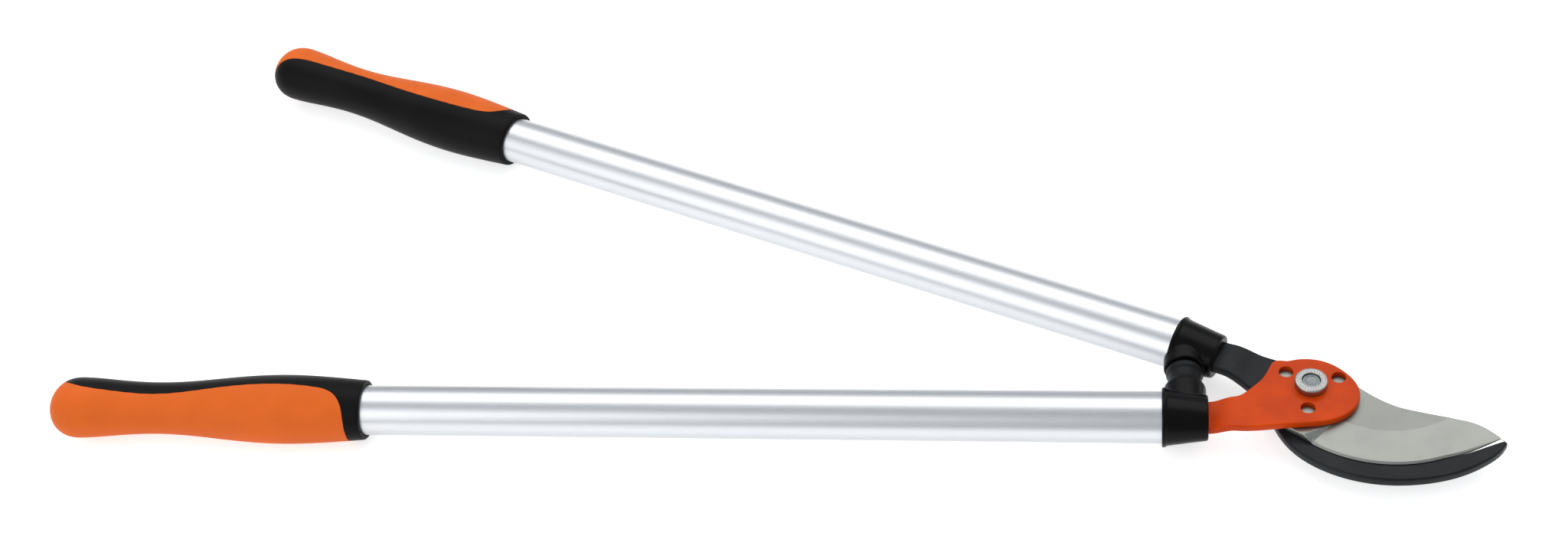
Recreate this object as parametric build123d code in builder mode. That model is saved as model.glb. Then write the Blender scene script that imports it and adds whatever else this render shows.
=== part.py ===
from build123d import *
import math
import os

# Bypass loppers with the jaws shut, in millimetres.
# The origin is on the pivot axis, on the flat underside of the pivot bolt's head.
# +X runs along the lever-side handle towards the jaw tips, +Y towards the hook-side handle, +Z up to the nut.

# --- Layout of the handles about the pivot ---
handle_angle = 23.0  # between the two handle axes with the jaws shut
lever_axis_offset = 16.6  # lever-side handle axis to the pivot, on the side away from the other handle
hook_axis_offset = 5.3  # hook-side handle axis to the pivot, on the side away from the other handle
ferrule_end = 50.4  # pivot to the head end of each ferrule, along its handle
ferrule_mouth = 73.2  # pivot to the tube end of each ferrule
tube_shown = 411.0  # bare tube between ferrule and grip
tang_reach = 125.0  # pivot to the end of each tang inside its tube

# --- Pivot stack, from the bolt head's underside upwards ---
bolt_head_height = 4.6
washer_thickness = 1.15
running_gap = 0.05  # washer to hook, and bolt to bushing on the radius
hook_thickness = 5.0
shear_gap = 0.25  # hook to blade
blade_thickness = 3.5
lever_thickness = 4.0
nut_height = 4.25

# --- Pivot hardware ---
bolt_head_flats = 15.0
bolt_diameter = 10.0
bolt_end_diameter = 9.0
bolt_end_recess = 0.7  # bolt end below the nut's top
nut_diameter = 16.1
washer_diameter = 20.0
bushing_diameter = 14.0

# --- Blade keys: pips on the blade in round holes in the lever ---
pip_circle_radius = 14.9
pip_hole_diameter = 7.1
pip_clearance = 0.1
pip_height = 1.1
pip_first_angle = 22.0
pip_count = 3

# --- Tube, insert and plug ---
tube_width = 27.3
oval_share = 0.886  # depth of the oval tubes and grips as a share of their width
tube_wall = 1.5
tube_in_ferrule = 7.0
tube_in_grip = 76.0
insert_past_tang = 6.0
plug_length = 14.0

# --- Tangs ---
tang_width = 18.6
tang_pin_diameter = 4.0
tang_pin_distances = (88.0, 112.0)
tang_pin_end_gap = 0.4
lever_bend = (38.0, 50.0)  # where the lever's joggle starts and ends, from the pivot
hook_bend = (35.5, 39.5)  # where the hook's joggle starts and ends, from the pivot

# --- Ferrules and bumper ---
ferrule_mouth_width = 30.2
ferrule_mouth_depth = 27.8
ferrule_end_width = 24.8
ferrule_end_depth = 20.0
ferrule_lip_width = 1.6
ferrule_lip_height = 0.6
boss_diameter = 21.0
boss_distance = 61.6  # pivot to the boss axis, along the lever-side handle
boss_height = 19.1  # lever-side boss above its handle axis
bumper_diameter = 18.6
bumper_shown = 12.5
bumper_seat = 2.2
bumper_rounding = 1.5
stop_gap = 0.3  # bumper to the hook-side boss with the jaws shut
cup_clearance = 0.7

# --- Grips ---
grip_length = 174.0
grip_mouth_radius = 16.4
grip_belly = (42.0, 19.1)  # distance from the mouth and half width of the belly
grip_flank = (86.0, 16.6)  # where the belly turns into the waist
grip_waist = (117.0, 14.4)
grip_bulb = (150.0, 16.6)  # where the waist turns into the round butt
# The seam of the pad: distance from the mouth, and offset towards the outer side.
pad_seam = [
    (7.4, 21),
    (8.6, 11),
    (15, 1.8),
    (27, -1.8),
    (52, -3.1),
    (80, -1.5),
    (111, 1.2),
    (140, -0.2),
    (160, -4),
    (177, -17),
]

# --- Head outlines ---
hook_head_radius = 22.0
blade_head_radius = 19.0
blade_edge_radius = 65.2  # cutting edge and bevel share one centre
blade_bevel_radius = 46.5
blade_bevel_centre = (37.9, 20.6)
blade_bevel_start = -126.5  # angle of the heel end of the bevel about its centre
blade_bevel_sweep = 160.0
blade_tip_radius = 70.2  # where the bevel would run out
blade_edge_thickness = 0.15

# --- Worked-out heights and places ---
hook_low = bolt_head_height + washer_thickness + running_gap
hook_high = hook_low + hook_thickness
blade_low = hook_high + shear_gap
blade_high = blade_low + blade_thickness
lever_high = blade_high + lever_thickness
nut_high = lever_high + nut_height
bolt_high = nut_high - bolt_end_recess
axis_height = lever_high - 6.25  # both handle axes lie at this height
tube_depth = tube_width * oval_share
tube_start = ferrule_mouth - tube_in_ferrule
grip_mouth = ferrule_mouth + tube_shown
tube_length = grip_mouth + tube_in_grip - tube_start
boss_face_y = boss_height - lever_axis_offset
bumper_high_y = boss_face_y + bumper_shown
stop_face_y = bumper_high_y + stop_gap
angle = math.radians(handle_angle)

# Handle planes: x away from the pivot along the handle axis, z up.
# The lever side's y points to its outer side, the hook side's y to its inner side.
lever_handle = Plane(origin=(0, -lever_axis_offset, axis_height), x_dir=(-1, 0, 0), z_dir=(0, 0, 1))
hook_handle = Plane(
    origin=(hook_axis_offset * math.sin(angle), hook_axis_offset * math.cos(angle), axis_height),
    x_dir=(-math.cos(angle), math.sin(angle), 0),
    z_dir=(0, 0, 1),
)
outer_side = {"lever": 1, "hook": -1}  # sign of each plane's y on its outer side
handles = {"lever": lever_handle, "hook": hook_handle}


def section(handle, distance):
    """Plane square to a handle axis at a distance from the pivot; its x lies across the handle, its y is up."""
    return Plane(
        origin=handle.from_local_coords((distance, 0, 0)), x_dir=handle.y_dir, z_dir=handle.x_dir
    )


def hook_point(distance, outward):
    """Point in the plan view, placed along the hook-side handle and outwards from its axis."""
    point = hook_handle.from_local_coords((distance, -outward, 0))
    return (point.X, point.Y)


def side_plane(handle):
    """Plane through a handle axis, with x along the handle and y up."""
    return Plane(origin=handle.origin, x_dir=handle.x_dir, z_dir=-handle.y_dir)


def pip_holes(radius, low, height):
    """Round bodies at the three pip places."""
    with BuildPart() as pips:
        with BuildSketch(Plane.XY.offset(low)):
            with PolarLocations(pip_circle_radius, pip_count, start_angle=pip_first_angle):
                Circle(radius)
        extrude(amount=height)
    return pips.part


def oval(width, depth):
    """Edges of an oval of four tangent arcs; ovals an even wall apart share their centres."""
    shift = (width - depth) / (4 - 2 * math.sqrt(2))
    corner_x = shift + (width / 2 - shift) * math.sqrt(0.5)
    corner_y = (width / 2 - shift) * math.sqrt(0.5)
    with BuildLine() as outline:
        ThreePointArc((corner_x, -corner_y), (width / 2, 0), (corner_x, corner_y))
        ThreePointArc((corner_x, corner_y), (0, depth / 2), (-corner_x, corner_y))
        ThreePointArc((-corner_x, corner_y), (-width / 2, 0), (-corner_x, -corner_y))
        ThreePointArc((-corner_x, -corner_y), (0, -depth / 2), (corner_x, -corner_y))
    return outline.edges()


def finish(piece, name):
    """Label a finished piece and write its file."""
    piece.label = name
    export_step(piece, f"parts/{name}.step")


# --- Plates of the head ---


def make_lever():
    tang_top = tang_width / 2 - lever_axis_offset
    tang_bottom = -tang_width / 2 - lever_axis_offset
    tang_low = axis_height - lever_thickness / 2
    near, far = lever_bend
    with BuildPart() as lever:
        with BuildSketch(Plane.XY.offset(tang_low)):
            with BuildLine():
                top = Line((-tang_reach, tang_top), (-near, tang_top))
                neck = Spline(
                    top @ 1, (-29.5, -1.8), (-22.8, 6), (-18.8, 14.6), tangents=(top % 1, (0.5, 1))
                )
                lobe = Spline(
                    neck @ 1, (-15.6, 17.2), (-11.5, 16.9), (-6, 18), tangents=(neck % 1, (1, 0.15))
                )
                head = Spline(
                    lobe @ 1,
                    (4.5, 17.6),
                    (17.6, 9.1),
                    (23.6, -3.5),
                    (19.6, -15.5),
                    (7, -22.9),
                    (-11.3, -25.2),
                    tangents=(lobe % 1, (-1, -0.12)),
                )
                belly = Spline(
                    head @ 1, (-near, tang_bottom - 1.4), (-far, tang_bottom), tangents=(head % 1, (-1, 0))
                )
                Line(belly @ 1, (-tang_reach, tang_bottom))
                Line((-tang_reach, tang_bottom), top @ 0)
            make_face()
        extrude(amount=lever_high - tang_low)
        with BuildSketch(side_plane(lever_handle)):
            with BuildLine():
                tang_half = lever_thickness / 2
                head_low = blade_high - axis_height
                head_high = lever_high - axis_height
                Polyline(
                    (tang_reach, -tang_half),
                    (far, -tang_half),
                    (near, head_low),
                    (-tang_reach, head_low),
                    (-tang_reach, head_high),
                    (near, head_high),
                    (far, tang_half),
                    (tang_reach, tang_half),
                    close=True,
                )
            make_face()
        extrude(amount=tang_reach, both=True, mode=Mode.INTERSECT)
        with Locations((0, 0, lever_high)):
            Hole(bolt_diameter / 2)
        add(pip_holes(pip_hole_diameter / 2, blade_high, lever_thickness), mode=Mode.SUBTRACT)
        add(tang_pin_holes(lever_handle), mode=Mode.SUBTRACT)
    return lever.part


def tang_pin_holes(handle):
    """Bodies of the two cross pins, tall enough to cut through a tang."""
    with BuildPart() as holes:
        with BuildSketch(handle.offset(-tube_depth / 2)):
            with Locations(*[(distance, 0) for distance in tang_pin_distances]):
                Circle(tang_pin_diameter / 2)
        extrude(amount=tube_depth)
    return holes.part


def make_blade():
    centre_x, centre_y = blade_bevel_centre
    reach = 2 * blade_edge_radius
    with BuildPart() as blade:
        with BuildSketch(Plane.XY.offset(blade_low)):
            with BuildLine():
                start = (0, blade_head_radius)
                spine = Spline(
                    (24.3, 2),
                    (35.2, -6.5),
                    (51.8, -13.2),
                    (69.3, -17.2),
                    (81, -20.8),
                    (89.5, -27),
                    tangents=((0.75, -0.66), (0.72, -0.7)),
                )
                shoulder = Spline(start, (13.5, 13.4), spine @ 0, tangents=((1, 0), spine % 0))
                edge_end = (59.6, centre_y - math.sqrt(blade_edge_radius**2 - (59.6 - centre_x) ** 2))
                edge_mid = (centre_x, centre_y - blade_edge_radius)
                heel = (-1.2, centre_y - math.sqrt(blade_edge_radius**2 - (-1.2 - centre_x) ** 2))
                edge = ThreePointArc(heel, edge_mid, edge_end)
                Spline(edge @ 1, (78.7, -33.2), spine @ 1, tangents=(edge % 1, (0.86, 0.5)))
                back = Line(heel, (-11.5, -24.2))
                Spline(back @ 1, (-17.6, -13), (-blade_head_radius, 0), tangents=(back % 1, (0, 1)))
                RadiusArc((-blade_head_radius, 0), start, blade_head_radius)
            make_face()
        extrude(amount=blade_thickness)
        # Bevel: a shallow cone about the centre of the cutting edge.
        start_angle = math.radians(blade_bevel_start)
        bevel_plane = Plane(
            origin=(centre_x, centre_y, blade_low),
            x_dir=(math.cos(start_angle), math.sin(start_angle), 0),
            z_dir=(math.sin(start_angle), -math.cos(start_angle), 0),
        )
        with BuildSketch(bevel_plane):
            with BuildLine():
                Polyline(
                    (blade_bevel_radius, blade_thickness),
                    (blade_tip_radius, blade_edge_thickness),
                    (reach, blade_edge_thickness),
                    (reach, 2 * blade_thickness),
                    (blade_bevel_radius, 2 * blade_thickness),
                    close=True,
                )
            make_face()
        bevel_axis = Axis((centre_x, centre_y, blade_low), (0, 0, 1))
        revolve(axis=bevel_axis, revolution_arc=blade_bevel_sweep, mode=Mode.SUBTRACT)
        with Locations((0, 0, blade_high)):
            Hole(bolt_diameter / 2)
        add(pip_holes(pip_hole_diameter / 2 - pip_clearance, blade_high, pip_height))
    return blade.part


def make_hook():
    near, far = hook_bend
    half = tang_width / 2
    with BuildPart() as hook:
        with BuildSketch(Plane.XY.offset(hook_low)):
            with BuildLine():
                top = Line(hook_point(tang_reach, half), hook_point(ferrule_end, half))
                crown = (0, hook_head_radius)
                neck = Spline(
                    top @ 1, hook_point(34, 11.1), hook_point(23.5, 11.3), crown, tangents=(top % 1, (1, 0))
                )
                throat = (hook_head_radius * math.cos(math.pi / 6), -hook_head_radius / 2)
                RadiusArc(neck @ 1, throat, hook_head_radius)
                jaw = Spline(
                    throat,
                    (17.2, -25),
                    (26, -34),
                    (42, -38.2),
                    (62, -35.9),
                    (88.6, -26.2),
                    tangents=((-0.5, -0.87), (0.9, 0.43)),
                )
                tip = Polyline(jaw @ 1, (90.8, -27), (92.2, -30.2))
                back = Spline(
                    tip @ 1,
                    (84, -39.3),
                    (70, -47.5),
                    (49.2, -53.2),
                    (28.4, -53.3),
                    (6.2, -46.3),
                    (-9.8, -33.8),
                    (-18.3, -18.5),
                    (-22.8, -5),
                    hook_point(33.6, -10.4),
                    hook_point(ferrule_end, -half),
                    tangents=((-0.5, -0.87), top % 0 * -1),
                )
                Line(back @ 1, hook_point(tang_reach, -half))
                Line(hook_point(tang_reach, -half), top @ 0)
            make_face()
        extrude(amount=axis_height + hook_thickness / 2 - hook_low)
        with BuildSketch(side_plane(hook_handle)):
            with BuildLine():
                tang_half = hook_thickness / 2
                head_low = hook_low - axis_height
                head_high = hook_high - axis_height
                Polyline(
                    (tang_reach, -tang_half),
                    (far, -tang_half),
                    (near, head_low),
                    (-tang_reach, head_low),
                    (-tang_reach, head_high),
                    (near, head_high),
                    (far, tang_half),
                    (tang_reach, tang_half),
                    close=True,
                )
            make_face()
        extrude(amount=tang_reach, both=True, mode=Mode.INTERSECT)
        with Locations((0, 0, hook_high)):
            Hole(bushing_diameter / 2)
        add(tang_pin_holes(hook_handle), mode=Mode.SUBTRACT)
    return hook.part


# --- Pivot hardware ---


def make_bushing():
    with BuildPart() as bushing:
        with BuildSketch(Plane.XY.offset(hook_low)):
            Circle(bushing_diameter / 2)
            Circle(bolt_diameter / 2 + running_gap, mode=Mode.SUBTRACT)
        extrude(amount=hook_thickness)
    return bushing.part


def make_bolt():
    with BuildPart() as bolt:
        with BuildSketch(Plane.XY):
            RegularPolygon(bolt_head_flats / 2, 6, major_radius=False)
        extrude(amount=bolt_head_height)
        with BuildSketch(Plane.XY.offset(bolt_head_height)):
            Circle(bolt_diameter / 2)
        extrude(amount=lever_high - bolt_head_height)
        with BuildSketch(Plane.XY.offset(lever_high)):
            Circle(bolt_end_diameter / 2)
        extrude(amount=bolt_high - lever_high)
    return bolt.part


def make_washer():
    with BuildPart() as washer:
        with BuildSketch(Plane.XY.offset(bolt_head_height)):
            Circle(washer_diameter / 2)
            Circle(bolt_diameter / 2, mode=Mode.SUBTRACT)
        extrude(amount=washer_thickness)
    return washer.part


def make_nut():
    with BuildPart() as nut:
        with BuildSketch(Plane.XY.offset(lever_high)):
            Circle(nut_diameter / 2)
            Circle(bolt_end_diameter / 2, mode=Mode.SUBTRACT)
        extrude(amount=nut_height)
        fillet(nut.faces().sort_by(Axis.Z)[-1].outer_wire().edges(), 0.5)
    return nut.part


# --- Handle pieces, made alike for both sides ---


def make_tube(handle):
    with BuildPart() as tube:
        with BuildSketch(section(handle, tube_start)):
            make_face(oval(tube_width, tube_depth))
            make_face(oval(tube_width - 2 * tube_wall, tube_depth - 2 * tube_wall), mode=Mode.SUBTRACT)
        extrude(amount=tube_length)
    return tube.part


def make_insert(handle, tang_thickness):
    with BuildPart() as insert:
        with BuildSketch(section(handle, tube_start)):
            make_face(oval(tube_width - 2 * tube_wall, tube_depth - 2 * tube_wall))
        extrude(amount=tang_reach + insert_past_tang - tube_start)
        with BuildSketch(section(handle, tube_start)):
            Rectangle(tang_width, tang_thickness)
        extrude(amount=tang_reach - tube_start, mode=Mode.SUBTRACT)
        add(tang_pin_holes(handle), mode=Mode.SUBTRACT)
    return insert.part


def make_tang_pins(handle):
    pin_length = tube_depth - 2 * tube_wall - 2 * tang_pin_end_gap
    with BuildPart() as pins:
        with BuildSketch(handle.offset(-pin_length / 2)):
            with Locations(*[(distance, 0) for distance in tang_pin_distances]):
                Circle(tang_pin_diameter / 2)
        extrude(amount=pin_length)
    return pins.part


def make_plug(handle):
    with BuildPart() as plug:
        with BuildSketch(section(handle, grip_mouth + tube_in_grip - plug_length)):
            make_face(oval(tube_width - 2 * tube_wall, tube_depth - 2 * tube_wall))
        extrude(amount=plug_length)
    return plug.part


def ferrule_shell(handle):
    """Tapered sleeve with a lip at its mouth, before the tube and tang are cut out of it."""
    with BuildPart() as shell:
        with BuildSketch(section(handle, ferrule_end)):
            Ellipse(ferrule_end_width / 2, ferrule_end_depth / 2)
        with BuildSketch(section(handle, ferrule_mouth)):
            Ellipse(ferrule_mouth_width / 2, ferrule_mouth_depth / 2)
        loft()
        with BuildSketch(section(handle, ferrule_mouth - ferrule_lip_width)):
            Ellipse(
                ferrule_mouth_width / 2 + ferrule_lip_height, ferrule_mouth_depth / 2 + ferrule_lip_height
            )
        extrude(amount=ferrule_lip_width)
    return shell.part


def ferrule_hollow(handle, tang_thickness):
    """What a ferrule leaves free: the tube's end and the tang."""
    with BuildPart() as hollow:
        with BuildSketch(section(handle, tube_start)):
            make_face(oval(tube_width, tube_depth))
        extrude(amount=ferrule_mouth)
        with BuildSketch(section(handle, 0)):
            Rectangle(tang_width, tang_thickness)
        extrude(amount=tang_reach)
    return hollow.part


def boss_plane(height_y, direction):
    """Plane at a height above or below the handles' gap, square to the bumper's axis."""
    return Plane(origin=(-boss_distance, height_y, axis_height), x_dir=(1, 0, 0), z_dir=(0, direction, 0))


def make_lever_ferrule():
    with BuildPart() as ferrule:
        add(ferrule_shell(lever_handle))
        with BuildSketch(boss_plane(-lever_axis_offset, 1)):
            Circle(boss_diameter / 2)
        extrude(amount=boss_height)
        with BuildSketch(boss_plane(boss_face_y - bumper_seat, 1)):
            Circle(bumper_diameter / 2)
        extrude(amount=bumper_seat, mode=Mode.SUBTRACT)
        add(ferrule_hollow(lever_handle, lever_thickness), mode=Mode.SUBTRACT)
    return ferrule.part


def make_bumper():
    with BuildPart() as bumper:
        with BuildSketch(boss_plane(boss_face_y - bumper_seat, 1)):
            Circle(bumper_diameter / 2)
        extrude(amount=bumper_seat + bumper_shown)
        fillet(bumper.faces().sort_by(Axis.Y)[-1].edges(), bumper_rounding)
    return bumper.part


def make_hook_ferrule():
    boss_axis_y = (hook_axis_offset + boss_distance * math.sin(angle)) / math.cos(angle)
    with BuildPart() as ferrule:
        add(ferrule_shell(hook_handle))
        with BuildSketch(boss_plane(stop_face_y, 1)):
            Circle(boss_diameter / 2)
        extrude(amount=boss_axis_y - stop_face_y)
        # The cup that the bumper meets: clear of the bumper below the stop face.
        with BuildSketch(boss_plane(stop_face_y, -1)):
            Circle(bumper_diameter / 2 + cup_clearance)
        extrude(amount=boss_height, mode=Mode.SUBTRACT)
        add(ferrule_hollow(hook_handle, hook_thickness), mode=Mode.SUBTRACT)
    return ferrule.part


# --- Grips ---


def grip_blank():
    """A grip in one piece about its own X axis, from its mouth to its butt, with the bore for the tube."""
    bulb_x, bulb_radius = grip_bulb
    butt_centre = (grip_length**2 - bulb_x**2 - bulb_radius**2) / (2 * (grip_length - bulb_x))
    butt_radius = grip_length - butt_centre
    butt_mid = (butt_centre + butt_radius * math.sin(0.6), butt_radius * math.cos(0.6))
    with BuildPart() as blank:
        with BuildSketch(Plane.XY):
            with BuildLine():
                belly = ThreePointArc((0, grip_mouth_radius), grip_belly, grip_flank)
                waist = ThreePointArc(belly @ 1, grip_waist, grip_bulb)
                butt = ThreePointArc(waist @ 1, butt_mid, (grip_length, 0))
                Line(butt @ 1, (0, 0))
                Line((0, 0), belly @ 0)
            make_face()
        revolve(axis=Axis.X)
        # Flats above and below give the grip the depth of its oval section.
        with BuildSketch(Plane.YZ):
            Rectangle(4 * grip_mouth_radius, 2 * grip_belly[1] * oval_share)
        extrude(amount=grip_length, mode=Mode.INTERSECT)
        with BuildSketch(Plane.YZ):
            make_face(oval(tube_width, tube_depth))
        extrude(amount=tube_in_grip, mode=Mode.SUBTRACT)
    return blank.part


def pad_zone(outer):
    """Block on the outer side of the seam."""
    reach = 2 * grip_mouth_radius
    seam = [(distance, outer * offset) for distance, offset in pad_seam]
    butt = grip_length + reach
    with BuildPart() as zone:
        with BuildSketch(Plane.XY.offset(-reach)):
            with BuildLine():
                line = Spline(*seam)
                side = outer * reach
                Polyline(line @ 1, (butt, seam[-1][1]), (butt, side), (seam[0][0], side), line @ 0)
            make_face()
        extrude(amount=2 * reach)
    return zone.part


def make_grip_pad(outer):
    with BuildPart() as pad:
        add(grip_blank())
        add(pad_zone(outer), mode=Mode.INTERSECT)
    return pad.part


def make_grip_body(outer):
    with BuildPart() as body:
        add(grip_blank())
        add(pad_zone(outer), mode=Mode.SUBTRACT)
    return body.part


def grip_plane(handle):
    """Handle plane moved out to the grip's mouth."""
    return Plane(
        origin=handle.from_local_coords((grip_mouth, 0, 0)), x_dir=handle.x_dir, z_dir=handle.z_dir
    )


os.makedirs("parts", exist_ok=True)

finish(make_lever(), "lever")
finish(make_blade(), "blade")
finish(make_hook(), "hook")
finish(make_bushing(), "hook_bushing")
finish(make_bolt(), "pivot_bolt")
finish(make_washer(), "pivot_washer")
finish(make_nut(), "pivot_nut")
finish(make_lever_ferrule(), "lever_ferrule")
finish(make_hook_ferrule(), "hook_ferrule")
finish(make_bumper(), "bumper")
for side, tang_thickness in (("lever", lever_thickness), ("hook", hook_thickness)):
    handle = handles[side]
    finish(make_tube(handle), f"{side}_tube")
    finish(make_insert(handle, tang_thickness), f"{side}_tang_insert")
    finish(make_tang_pins(handle), f"{side}_tang_pins")
    finish(make_plug(handle), f"{side}_tube_plug")
    finish(grip_plane(handle) * make_grip_body(outer_side[side]), f"{side}_grip_body")
    finish(grip_plane(handle) * make_grip_pad(outer_side[side]), f"{side}_grip_pad")
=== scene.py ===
import logging
import math
from dataclasses import dataclass, field
from enum import Enum
from typing import Callable, Sequence, Union

import bmesh
import bpy
import numpy as np
from mathutils import Matrix, Vector
from mathutils.geometry import delaunay_2d_cdt


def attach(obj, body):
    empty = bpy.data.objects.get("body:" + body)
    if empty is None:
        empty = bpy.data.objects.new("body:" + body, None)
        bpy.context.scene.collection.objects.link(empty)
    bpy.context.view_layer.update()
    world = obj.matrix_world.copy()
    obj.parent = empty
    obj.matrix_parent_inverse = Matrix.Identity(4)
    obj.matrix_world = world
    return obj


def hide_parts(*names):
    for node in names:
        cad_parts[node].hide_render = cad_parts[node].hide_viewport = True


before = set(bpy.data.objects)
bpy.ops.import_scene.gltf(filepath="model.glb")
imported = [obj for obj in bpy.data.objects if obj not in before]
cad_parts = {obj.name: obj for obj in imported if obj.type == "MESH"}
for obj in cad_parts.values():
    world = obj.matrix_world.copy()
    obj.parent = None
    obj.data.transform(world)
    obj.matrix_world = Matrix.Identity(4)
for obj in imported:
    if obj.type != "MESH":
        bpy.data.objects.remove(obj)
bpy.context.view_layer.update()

# Lengths are in millimetres, but in metres in the finishes and the studio. PIP_ANGLE is in degrees.
MM = 0.001
AXIS_HEIGHT = 12.3
TUBE_HALF_WIDTH = 13.65
OVAL_SHARE = 0.886
TUBE_START = 66.2
BOSS_X = -61.6
PIP_CIRCLE = 14.9
PIP_ANGLE = 22.0
LEVER_BODY = "lever_side"
HOOK_BODY = "hook_side"

log = logging.getLogger("loppers")

Points = np.ndarray
Values = Union[float, np.ndarray]
Triple = tuple[float, float, float]
Heights = Callable[[np.ndarray], np.ndarray]
Faces = list[tuple[int, ...]]
Material = bpy.types.Material
Object = bpy.types.Object
Mesh = bpy.types.Mesh


def linked(name: str, data: Union[bpy.types.ID, None]) -> Object:
    """A new object in the scene.

    Args:
        name: The object's name.
        data: Its mesh, light or camera.

    Returns:
        The object.
    """
    made = bpy.data.objects.new(name, data)
    bpy.context.scene.collection.objects.link(made)
    return made


# Shader maths


class Term:
    """A shader socket that takes part in Python expressions."""

    def __init__(self, book: "NodeBook", socket: bpy.types.NodeSocket) -> None:
        """Wrap one output socket of a node tree."""
        self.book = book
        self.socket = socket

    def math(self, operation: str, *others: "Number") -> "Term":
        """Add a Math node on this term and others."""
        return self.book.calculate(operation, self, *others)

    def __add__(self, other: "Number") -> "Term":
        """Sum."""
        return self.math("ADD", other)

    __radd__ = __add__

    def __sub__(self, other: "Number") -> "Term":
        """Difference."""
        return self.math("SUBTRACT", other)

    def __rsub__(self, other: "Number") -> "Term":
        """Difference with the term last."""
        return self.book.calculate("SUBTRACT", other, self)

    def __mul__(self, other: "Number") -> "Term":
        """Product."""
        return self.math("MULTIPLY", other)

    __rmul__ = __mul__

    def __truediv__(self, other: "Number") -> "Term":
        """Quotient."""
        return self.math("DIVIDE", other)

    def __pow__(self, other: "Number") -> "Term":
        """Power."""
        return self.math("POWER", other)

    def ramp(self, low: float, high: float) -> "Term":
        """Smooth step from 0 at low to 1 at high.

        Args:
            low: Value that gives 0.
            high: Value that gives 1.

        Returns:
            The step as a term.
        """
        return self.book.node(
            "ShaderNodeMapRange",
            {"interpolation_type": "SMOOTHSTEP"},
            {"Value": self, "From Min": low, "From Max": high},
            "Result",
        )


Number = Union[Term, float]
Colour = Union[Term, Sequence[float]]


class NodeBook:
    """The node tree of one material."""

    def __init__(self, name: str) -> None:
        """Make an empty material with that name.

        Args:
            name: The material's name.
        """
        self.material = bpy.data.materials.new(name)
        self.material.use_nodes = True
        self.tree = self.material.node_tree
        self.tree.nodes.clear()

    def node(self, kind: str, settings: dict, sockets: dict, out: Union[int, str] = 0) -> Term:
        """Add one node.

        Args:
            kind: The node's type.
            settings: Properties that are set before the sockets.
            sockets: Values or terms for the inputs, by name or number.
            out: The output that is returned.

        Returns:
            The chosen output as a term.
        """
        made = self.tree.nodes.new(kind)
        for key, value in settings.items():
            setattr(made, key, value)
        for key, value in sockets.items():
            if isinstance(value, Term):
                self.tree.links.new(value.socket, made.inputs[key])
            else:
                made.inputs[key].default_value = value
        return Term(self, made.outputs[out])

    def calculate(self, operation: str, *values: Number) -> Term:
        """Add a Math node on terms or numbers."""
        return self.node("ShaderNodeMath", {"operation": operation}, dict(enumerate(values)))

    def place(self) -> Term:
        """Position on the piece, in metres."""
        return self.node("ShaderNodeTexCoord", {}, {}, "Object")

    def turned(self, vector: Term, angle: float, centre: Sequence[float] = (0, 0, 0)) -> Term:
        """Turn a position about Z, after moving the centre to the origin.

        Args:
            vector: The position.
            angle: The turn in radians.
            centre: The point that becomes the origin, in metres.

        Returns:
            The turned position.
        """
        moved = self.node(
            "ShaderNodeVectorMath", {"operation": "SUBTRACT"}, {0: vector, 1: tuple(centre)}, "Vector"
        )
        return self.node(
            "ShaderNodeVectorRotate", {"rotation_type": "Z_AXIS"}, {"Vector": moved, "Angle": angle}
        )

    def stretched(self, vector: Term, factors: Sequence[float]) -> Term:
        """Multiply a position by three factors.

        Args:
            vector: The position.
            factors: Factors along X, Y and Z.

        Returns:
            The stretched position.
        """
        return self.node(
            "ShaderNodeVectorMath", {"operation": "MULTIPLY"}, {0: vector, 1: tuple(factors)}, "Vector"
        )

    def split(self, vector: Term) -> tuple[Term, Term, Term]:
        """The three parts of a position.

        Args:
            vector: The position.

        Returns:
            Its X, Y and Z.
        """
        made = self.tree.nodes.new("ShaderNodeSeparateXYZ")
        self.tree.links.new(vector.socket, made.inputs[0])
        x, y, z = (Term(self, socket) for socket in made.outputs)
        return x, y, z

    def noise(self, vector: Term, scale: float, detail: float = 3.0, roughness: float = 0.5) -> Term:
        """Noise between 0 and 1 at a scale per metre.

        Args:
            vector: The position.
            scale: Scale per metre.
            detail: Number of finer layers.
            roughness: Strength of the finer layers.

        Returns:
            The noise as a term.
        """
        return self.node(
            "ShaderNodeTexNoise",
            {"noise_dimensions": "3D"},
            {"Vector": vector, "Scale": scale, "Detail": detail, "Roughness": roughness},
        )

    def blend(self, factor: Number, first: "Colour", second: "Colour") -> Term:
        """Mix two colours.

        Args:
            factor: 0 for the first colour, 1 for the second.
            first: A colour term or three numbers.
            second: A colour term or three numbers.

        Returns:
            The mixed colour.
        """
        made = self.tree.nodes.new("ShaderNodeMix")
        made.data_type = "RGBA"
        for socket, value in ((made.inputs[0], factor), (made.inputs[6], first), (made.inputs[7], second)):
            if isinstance(value, Term):
                self.tree.links.new(value.socket, socket)
            elif isinstance(value, (int, float)):
                socket.default_value = value
            else:
                socket.default_value = (*value, 1.0)
        return Term(self, made.outputs[2])

    def bump(self, height: Term, distance: float, strength: float = 1.0) -> Term:
        """Normal raised by a height, at a distance in metres."""
        return self.node("ShaderNodeBump", {}, {"Strength": strength, "Distance": distance, "Height": height})

    def finish(self, colour: Term, roughness: Number, **others: Union[Number, Sequence[float]]) -> Material:
        """Close the material with a Principled shader.

        Args:
            colour: The base colour.
            roughness: The roughness.
            others: More inputs of the shader, with underscores for spaces.

        Returns:
            The material.
        """
        named = {label.replace("_", " "): value for label, value in others.items()}
        sockets = {"Base Color": colour, "Roughness": roughness, **named}
        shader = self.node("ShaderNodeBsdfPrincipled", {}, sockets)
        output = self.tree.nodes.new("ShaderNodeOutputMaterial")
        self.tree.links.new(shader.socket, output.inputs["Surface"])
        return self.material


# Finishes


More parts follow.
